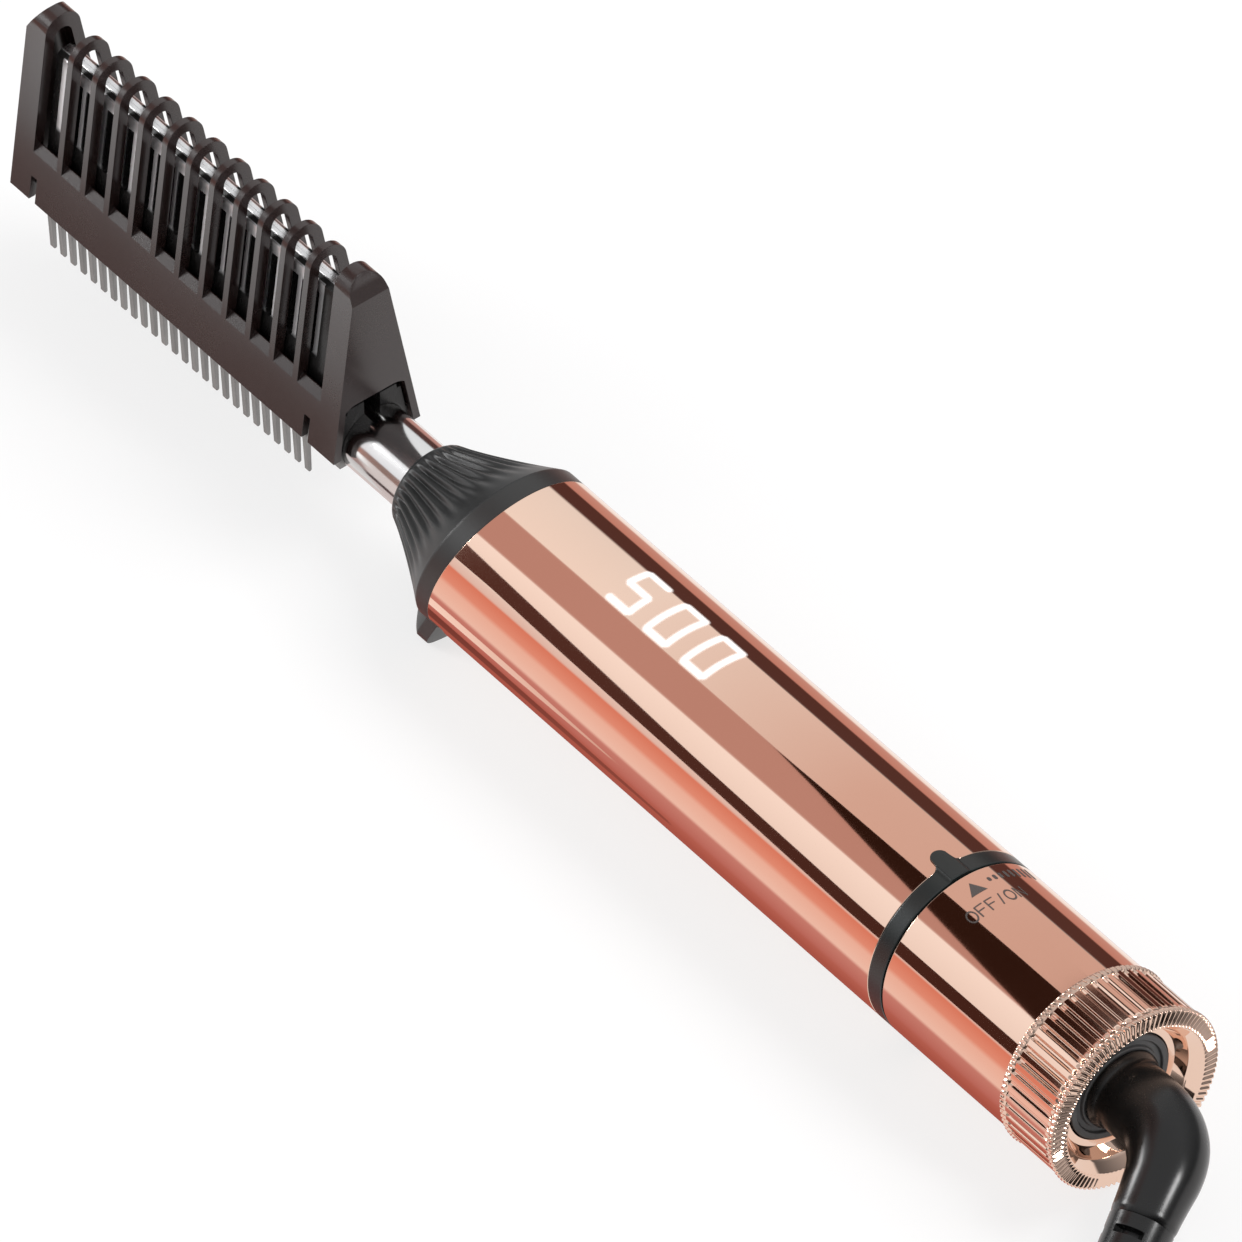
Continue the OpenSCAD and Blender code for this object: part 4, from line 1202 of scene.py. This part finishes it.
def bell(share, turn):
    """Radius and place of the bell at a share of the way from its mouth to the rim: a power
    curve of the share, less the flutes, which fade out towards both ends. Below, it flares
    out and back to the foot's outline in the last part of the way."""
    plain = bell_radius_at_mouth + (barrel_radius - bell_radius_at_mouth) * np.minimum(
        1, share / 0.85
    ) ** 1.15
    plain = plain - 1.2 * np.clip(1 - share / 0.05, 0, 1) ** 2
    wave = (0.5 - 0.5 * np.cos(flutes * turn)) ** 1.15
    cut = soft_step((share - 0.03) / 0.16) * soft_step((0.82 - share) / 0.42)
    rim = barrel_radius * math.tan(rim_slant) * np.sin(turn)
    below = np.where(turn > math.pi, turn - 2 * math.pi, turn)
    foot = np.interp(below, foot_turn, foot_reach, barrel_radius, barrel_radius)
    flare = np.maximum(foot - barrel_radius, 0) * soft_step((share - 0.42) / 0.44)
    lean = 0.45 * flare * (share <= 1)
    return bell_x + share * (rim - bell_x) - lean, plain - flute_depth * wave * cut + flare


turn = np.linspace(0, 2 * math.pi, flutes * 20, endpoint=False)[None, :]
x, r = bell(collar_share, turn)
inner_radii = [np.full_like(turn, wall) for wall in (bore_radius, 8.0, 6.25)]
slope = math.tan(rim_slant) * np.sin(turn)
x = np.concatenate([x, x[-1:] + 0.04, bore_radius * slope, 8.0 * slope, 0 * turn + bell_x])
r = np.concatenate([r, r[-1:] - 0.07, *inner_radii])
collar = skin(
    "collar_bell",
    on_handle(np.stack([x, r * np.cos(turn), r * np.sin(turn)], -1)),
    True,
    True,
    sharp=45,
)
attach(collar, "handle")
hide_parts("collar")
collar_finish = moulded(
    "collar_satin",
    (0.020, 0.021, 0.021),
    0.39,
    grain=2200.0,
    depth=4e-6,
    tone=0.18,
    Specular_IOR_Level=0.55,
)
dress(collar, collar_finish)


# ---- Neck ----
# A polished thin-walled steel tube. It carries the comb and keeps its heat from the handle.
neck_front, neck_back, neck_radius, neck_bore = -41.2, 12.0, 6.2, 5.3
neck = turned(
    "neck",
    rounded(
        [
            (neck_front, neck_bore), (neck_front, neck_radius),
            (neck_back, neck_radius), (neck_back, neck_bore),
        ],
        0.2,
    ),
    sides=128,
)
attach(neck, "handle")
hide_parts("neck_tube")
dress(neck, bright("neck_steel", (0.80, 0.795, 0.79), 0.09, scratch=0.03))


# ---- Comb ----
# Two cast metal halves with a black ceramic coat, screwed together round the heater. Each
# has upright fins on its body and 26 tapered teeth below.
fin_lean = 0.16196


def comb_cast(graph):
    """Black coat on the body and the fins, worn to grey on the teeth. The top of the back is
    left polished, and so are the fins' outer edges, which lean in by fin_lean as they rise."""
    place = graph.place()
    parts = graph.node("ShaderNodeSeparateXYZ", {}, {"Vector": place})
    height = Wire(graph, parts.socket.node.outputs[2])
    fine = graph.cloud(graph.place(scale=(700, 700, 120)), 1.0, 3.0, 0.6)
    speck = graph.cloud(place, 1800.0, 3.0, 0.6)
    across = Wire(graph, parts.socket.node.outputs[1])
    side = across.math("ABSOLUTE", across) + height * fin_lean
    run = parts.step(-0.1292, -0.1291) * (1 - parts.step(-0.0614, -0.0613))
    fin_edge = side.step(0.00868, 0.00874) * height.step(0.0300, 0.0312) * run
    bare = (height.step(0.04485, 0.04495) + fin_edge).clamp()
    tooth = 1 - (height + fine * 0.002).step(0.0150, 0.0185)
    coat = graph.mix(speck, (0.006, 0.0055, 0.0055), (0.016, 0.015, 0.0145))
    worn = graph.mix(fine, (0.15, 0.145, 0.142), (0.36, 0.355, 0.35))
    steel_top = graph.mix(fine, (0.72, 0.72, 0.73), (0.84, 0.84, 0.85))
    return {
        "Base Color": graph.mix(bare, graph.mix(tooth, coat, worn), steel_top),
        "Metallic": (bare + tooth * 0.9).clamp(),
        "Roughness": 0.22 + fine * 0.1 + fin_edge * 0.12 + tooth * 0.04,
        "Normal": graph.bump(speck, 2e-6),
    }


comb_finish = finish("comb_cast", comb_cast, Specular_IOR_Level=0.3)
for node, name in (("comb_half_near", "comb_near"), ("comb_half_far", "comb_far")):
    half = eased(node, name, 0.1, sharp=30)
    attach(half, "handle")
    dress(half, comb_finish)


# ---- Comb guard ----
# A slip-on cage of heat resistant satin plastic, brown-black: two end panels, a skirt with
# sloping sills, and eleven ribs.
guard = eased("comb_guard", "guard", 0.4, sharp=30, segments=3)
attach(guard, "handle")
guard_finish = moulded(
    "guard_satin",
    (0.021, 0.0115, 0.0105),
    0.26,
    grain=2400.0,
    depth=2.5e-6,
    tone=0.15,
    Specular_IOR_Level=0.52,
    Coat_Weight=0.25,
    Coat_Roughness=0.14,
)
dress(guard, guard_finish)


# ---- Pieces inside ----
# What the shells hold: heater stone and its film, sensor, fuse, leads, bushes, boards with
# their parts, the dial's track, spring and wiper, and the swivel's pin and contacts.
def board(graph):
    """Green solder mask with paler copper tracks on a 2 mm grid under it."""
    place = graph.place()
    parts = graph.node("ShaderNodeSeparateXYZ", {}, {"Vector": place})
    across = Wire(graph, parts.socket.node.outputs[1])
    lines = ((across * 3100.0).math("SINE", across * 3100.0)).step(0.55, 0.75)
    breaks = graph.cloud(graph.place(scale=(90, 500, 500)), 1.0, 1.0, 0.5).step(0.45, 0.5)
    track = lines * breaks
    return {
        "Base Color": graph.mix(track, (0.006, 0.075, 0.03), (0.03, 0.16, 0.06)),
        "Roughness": 0.35 - track * 0.08,
        "Normal": graph.bump(track, 3e-5),
    }


def pressed_stone(graph):
    """Grey ceramic with dark specks."""
    specks = graph.cloud(graph.place(), 1400.0, 3.0, 0.7)
    return {
        "Base Color": graph.mix(specks.step(0.35, 0.65), (0.03, 0.03, 0.033), (0.10, 0.10, 0.105)),
        "Roughness": 0.6 + specks * 0.25,
        "Normal": graph.bump(specks, 2e-5),
    }


def amber_film(graph):
    """Wrapped amber film with soft creases."""
    creases = graph.cloud(graph.place(scale=(300, 60, 60)), 1.0, 3.0, 0.6)
    return {
        "Base Color": graph.mix(creases, (0.36, 0.14, 0.015), (0.60, 0.27, 0.04)),
        "Roughness": 0.22 + creases * 0.2,
        "Normal": graph.bump(creases, 6e-5),
    }


inner_dark = moulded("inner_moulding", (0.05, 0.05, 0.055), 0.5)
heat_white = moulded("heat_resin", (0.62, 0.56, 0.42), 0.55, tone=0.1)
steel = bright("plain_steel", (0.56, 0.56, 0.57), 0.3)
green_board = finish("green_board", board)
red_sleeve = moulded("red_sleeve", (0.42, 0.025, 0.02), 0.5, tone=0.12)
blue_sleeve = moulded("blue_sleeve", (0.03, 0.06, 0.40), 0.5, tone=0.12)
inside = {
    "comb_screws": steel,
    "ptc_heater": finish("heater_stone", pressed_stone),
    "heater_insulation": finish("amber_film", amber_film),
    "thermistor": moulded("sensor_bead", (0.03, 0.03, 0.03), 0.2),
    "thermal_fuse": steel,
    "heater_leads": red_sleeve,
    "neck_bush": heat_white,
    "chassis": inner_dark,
    "main_board": green_board,
    "display_module": moulded("light_guide", (0.75, 0.75, 0.73), 0.35, tone=0.05),
    "power_parts": moulded("part_case", (0.02, 0.035, 0.14), 0.4),
    "track_board": green_board,
    "detent_spring": steel,
    "spindle": inner_dark,
    "contact_carrier": heat_white,
    "contact_springs": brass_finish,
    "supply_leads": blue_sleeve,
    "dial_hub": inner_dark,
    "wiper_ring": brass_finish,
    "swivel_pin": brass_finish,
}
for node, material in inside.items():
    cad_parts[node].material_slots[0].material = material
